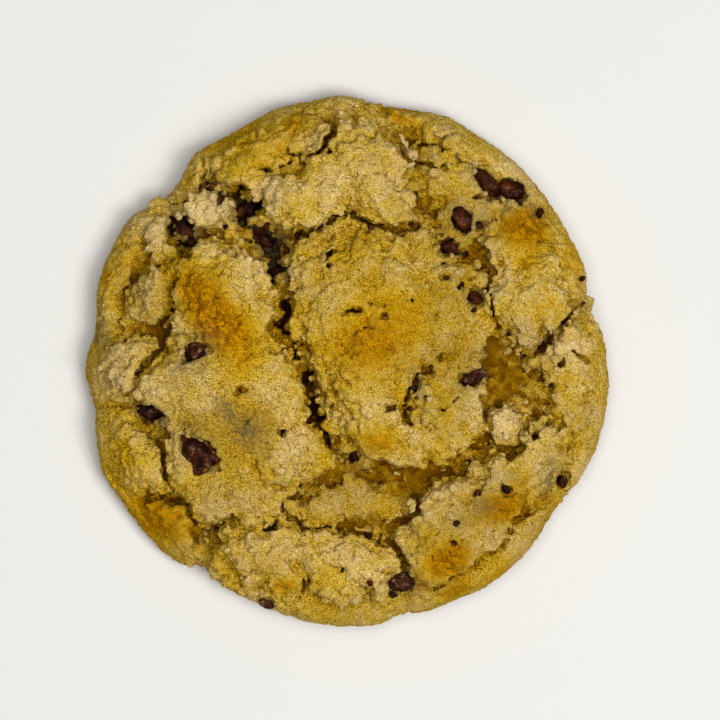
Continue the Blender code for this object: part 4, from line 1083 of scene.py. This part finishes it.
def paint_dough(mesh, points, fields, chips):
    """What the dough's material needs to know at each point."""
    x, y, z = points.T
    # How far into the cracks a point lies: brown there is partly the inner dough's colour and partly painted
    # shade, and black further down is painted shadow
    inner = step_between(1.8, 6.0, -sample(fields["outer"], points)) * off_floor(points)
    deep = step_between(4.2, 6.8, -sample(fields["dome"], points)) * off_floor(points)
    toast = np.maximum(patches_at(TOAST_PATCHES, x, y) * (1.0 - inner), 0.65 * step_between(7.0, 1.5, z))
    smear = np.maximum(patches_at(FILM_PATCHES, x, y), chip_halo(chips, points)) * step_between(4.0, 9.0, z)
    # The shaded patches are painted shade
    paint(mesh, inner=inner, deep=deep, toast=toast, smear=smear,
          pale=patches_at(PALE_PATCHES, x, y), dull=patches_at(PAINTED_SHADE_PATCHES, x, y),
          **{name: cavity(fields[name], points) for name in ("dip", "hollow", "basin")})


def crumb_shapes(detail, random):
    """Some irregular crumbs about 1 in radius, as points, and the faces that all of them share."""
    form = bmesh.new()
    bmesh.ops.create_icosphere(form, subdivisions=detail, radius=1.0)
    ball = np.array([vertex.co for vertex in form.verts])
    faces = np.array([[vertex.index for vertex in face.verts] for face in form.faces])
    form.free()
    shapes = []
    for _ in range(24):
        waves = np.sin(ball @ random.normal(size=(3, 5)) * 1.6 + random.random(5) * 6.28)
        shapes.append(ball * (1.0 + 0.13 * waves.sum(axis=1))[:, None] * (0.75 + 0.5 * random.random(3)))
    return np.array(shapes), faces


def turns(count, random):
    """Random rotations, as matrices."""
    w, x, y, z = random.normal(size=(4, count))
    length = np.sqrt(w * w + x * x + y * y + z * z)
    w, x, y, z = w / length, x / length, y / length, z / length
    rows = ((1 - 2 * (y * y + z * z), 2 * (x * y - z * w), 2 * (x * z + y * w)),
            (2 * (x * y + z * w), 1 - 2 * (x * x + z * z), 2 * (y * z - x * w)),
            (2 * (x * z - y * w), 2 * (y * z + x * w), 1 - 2 * (x * x + y * y)))
    return np.array(rows).transpose(2, 0, 1)


def crumb_places(points, corners, fields, chips, random):
    """Places for loose crumbs, in the cracks and on broken edges, and the ways out of the dough there."""
    first, second, third = (points[corners[:, corner]] for corner in range(3))
    outward = np.cross(second - first, third - first)
    area = np.linalg.norm(outward, axis=1)
    outward /= np.maximum(area, 1e-6)[:, None]
    middle = (first + second + third) / 3.0
    edge = step_between(0.6, 1.8, -cavity(fields["hollow"], middle))
    broken = step_between(1.5, 3.5, -sample(fields["dome"], middle))
    wanted = (0.5 * edge + broken) * (1.0 - 0.9 * patches_at(SMOOTH_PATCHES, *middle.T[:2]))
    wanted += 0.8 * chip_halo(chips, middle)
    wanted *= area * (outward[:, 2] > -0.1) * (middle[:, 2] > 5.0)
    chosen = random.choice(len(area), size=LOOSE_CRUMBS, p=wanted / wanted.sum())
    return middle[chosen], outward[chosen]


def make_crumbs(points, corners, fields, chips, material):
    """The loose crumbs, as one piece."""
    random = np.random.default_rng(40)
    shapes, faces = crumb_shapes(2, random)
    places, outward = crumb_places(points, corners, fields, chips, random)
    radius = SMALLEST_CRUMB + (LARGEST_CRUMB - SMALLEST_CRUMB) * random.random(LOOSE_CRUMBS) ** 2
    middles = places + outward * (radius * (-0.2 + 0.6 * random.random(LOOSE_CRUMBS)))[:, None]
    forms = shapes[random.integers(len(shapes), size=LOOSE_CRUMBS)] * radius[:, None, None]
    forms = np.einsum("nij,nvj->nvi", turns(LOOSE_CRUMBS, random), forms)
    own_points = under_top((forms + middles[:, None, :]).reshape(-1, 3))
    own_faces = (faces[None] + len(forms[0]) * np.arange(LOOSE_CRUMBS)[:, None, None]).reshape(-1, 3)
    piece = link("crumbs", make_mesh("crumbs", own_points, own_faces), material)
    paint_dough(piece.data, own_points, fields, chips)
    # Painted shade: each crumb is darker low down and lighter on top
    height = np.einsum("nvj,nj->nv", forms, outward) / radius[:, None]
    paint(piece.data, crease=(-0.7 * height).ravel())
    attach(piece, "root")


def add_chip(form, place, seed, detail):
    """One irregular melted chip, added to a bmesh, in metres."""
    x, y, z, half_length, half_width, half_height, turn = place
    made = bmesh.ops.create_icosphere(form, subdivisions=detail, radius=1.0)
    turned = Matrix.Rotation(math.radians(turn), 3, "Z")
    offset = Vector((17.0 * seed, 5.0 * seed, 31.0))
    for vertex in made["verts"]:
        way = vertex.co.copy()
        size = 1.0 + 0.36 * noise_at(1.3 * way + offset) + 0.22 * noise_at(3.4 * way + offset)
        size += 0.10 * noise_at(8.0 * way + offset)
        stretched = Vector((way.x * half_length, way.y * half_width, way.z * half_height)) * size
        vertex.co = (turned @ stretched + Vector((x, y, z))) * MM


def make_chips(chips, bits, material):
    """The chips, each in its packed chip's place, and the small bits as one piece."""
    for seed, (name, place) in enumerate(chips.items()):
        form = bmesh.new()
        add_chip(form, place, seed, 4)
        piece = link(name + "_melted", finished_mesh(name, form), material)
        paint(piece.data, film=np.full(len(piece.data.vertices), CHIPS[name][6]))
        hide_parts(name)
        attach(piece, "root")
    form = bmesh.new()
    for seed, place in enumerate(bits):
        add_chip(form, place, seed + 100, 3)
    piece = link("chip_bits", finished_mesh("chip_bits", form), material)
    paint(piece.data, film=np.full(len(piece.data.vertices), 0.15))
    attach(piece, "root")


def finished_mesh(name, form):
    """The mesh of a bmesh, which is freed."""
    mesh = bpy.data.meshes.new(name)
    form.to_mesh(mesh)
    form.free()
    return mesh


# ---------------------------------------------------------------- the setting, in metres

FLOOR_REACH = 1.5           # half the floor's width
FLOOR_GAP = 0.0001          # how far it lies under the cookie
EYE_HEIGHT = 1.4
EYE_PLACE = (0.00263, 0.000585)
VIEW_WIDTH = 0.14035        # width of the view at the rim's widest height


def make_floor():
    """The pale floor the cookie lies on."""
    mesh = bpy.data.meshes.new("floor")
    shape = bmesh.new()
    bmesh.ops.create_grid(shape, x_segments=1, y_segments=1, size=FLOOR_REACH)
    shape.to_mesh(mesh)
    shape.free()
    floor = link("floor", mesh, principled("floor", (0.72, 0.715, 0.69), 0.9)[0])
    floor.location.z = -FLOOR_GAP


def area_light(name, place, target, size, power, colour):
    """A round soft light aimed at a place, in metres and watts."""
    lamp = bpy.data.lights.new(name, "AREA")
    lamp.shape = "DISK"
    lamp.size = size
    lamp.energy = power
    lamp.color = colour
    light = bpy.data.objects.new(name, lamp)
    light.location = place
    light.rotation_euler = (Vector(target) - Vector(place)).to_track_quat("-Z", "Y").to_euler()
    bpy.context.scene.collection.objects.link(light)


def make_lights():
    """Soft studio light from above, a little stronger from the right."""
    world = bpy.data.worlds.new("studio")
    bpy.context.scene.world = world
    world.use_nodes = True
    sky = world.node_tree.nodes["Background"]
    sky.inputs["Color"].default_value = (1.0, 0.99, 0.97, 1.0)
    sky.inputs["Strength"].default_value = 0.12
    area_light("key", (0.5, -0.25, 1.2), (0.0, 0.0, 0.0), 0.55, 10.2, (1.0, 0.985, 0.96))
    area_light("top", (0.0, 0.0, 1.3), (0.0, 0.0, 0.0), 1.2, 11.4, (1.0, 1.0, 1.0))


def make_camera():
    """Straight down, from far enough that heights hardly shift in the view."""
    camera = bpy.data.cameras.new("camera")
    camera.sensor_width = 36.0
    camera.lens = camera.sensor_width * (EYE_HEIGHT - WIDEST_HEIGHT * MM) / VIEW_WIDTH
    eye = bpy.data.objects.new("camera", camera)
    eye.location = (*EYE_PLACE, EYE_HEIGHT)
    bpy.context.scene.collection.objects.link(eye)
    bpy.context.scene.camera = eye


def main():
    bpy.context.scene.view_settings.view_transform = "Standard"
    distance, outer, dome, chips, bits, bent, ragged = dough_field()
    near = np.clip(distance, -3.0, 3.0)
    fields = {"outer": outer, "dome": dome, "crease": blurred(near, 1), "dip": blurred(near, 3),
              "hollow": blurred(near, 8), "basin": blurred(np.clip(distance, -7.0, 7.0), 20)}
    material = dough_material()
    all_points, all_corners = [], []
    for name, half in halves(distance, bent, ragged):
        mesh = lightened(make_mesh(name, *mesh_from_field(half)), MOST_TRIANGLES)
        points = mesh_points(mesh)
        paint_dough(mesh, points, fields, chips)
        raised = grain(mesh, points)
        # Painted shade: darker in creases and where the grain sinks
        paint(mesh, crease=cavity(fields["crease"], points) - 3.0 * raised)
        dough = link(name, mesh, material)
        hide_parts("dough")
        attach(dough, "root")
        mesh.calc_loop_triangles()
        corners = np.array([triangle.vertices[:] for triangle in mesh.loop_triangles])
        all_corners.append(corners + sum(len(each) for each in all_points))
        all_points.append(points)
    make_crumbs(np.concatenate(all_points), np.concatenate(all_corners), fields, chips, material)
    make_chips(chips, bits, chocolate_material())
    make_floor()
    make_lights()
    make_camera()


main()
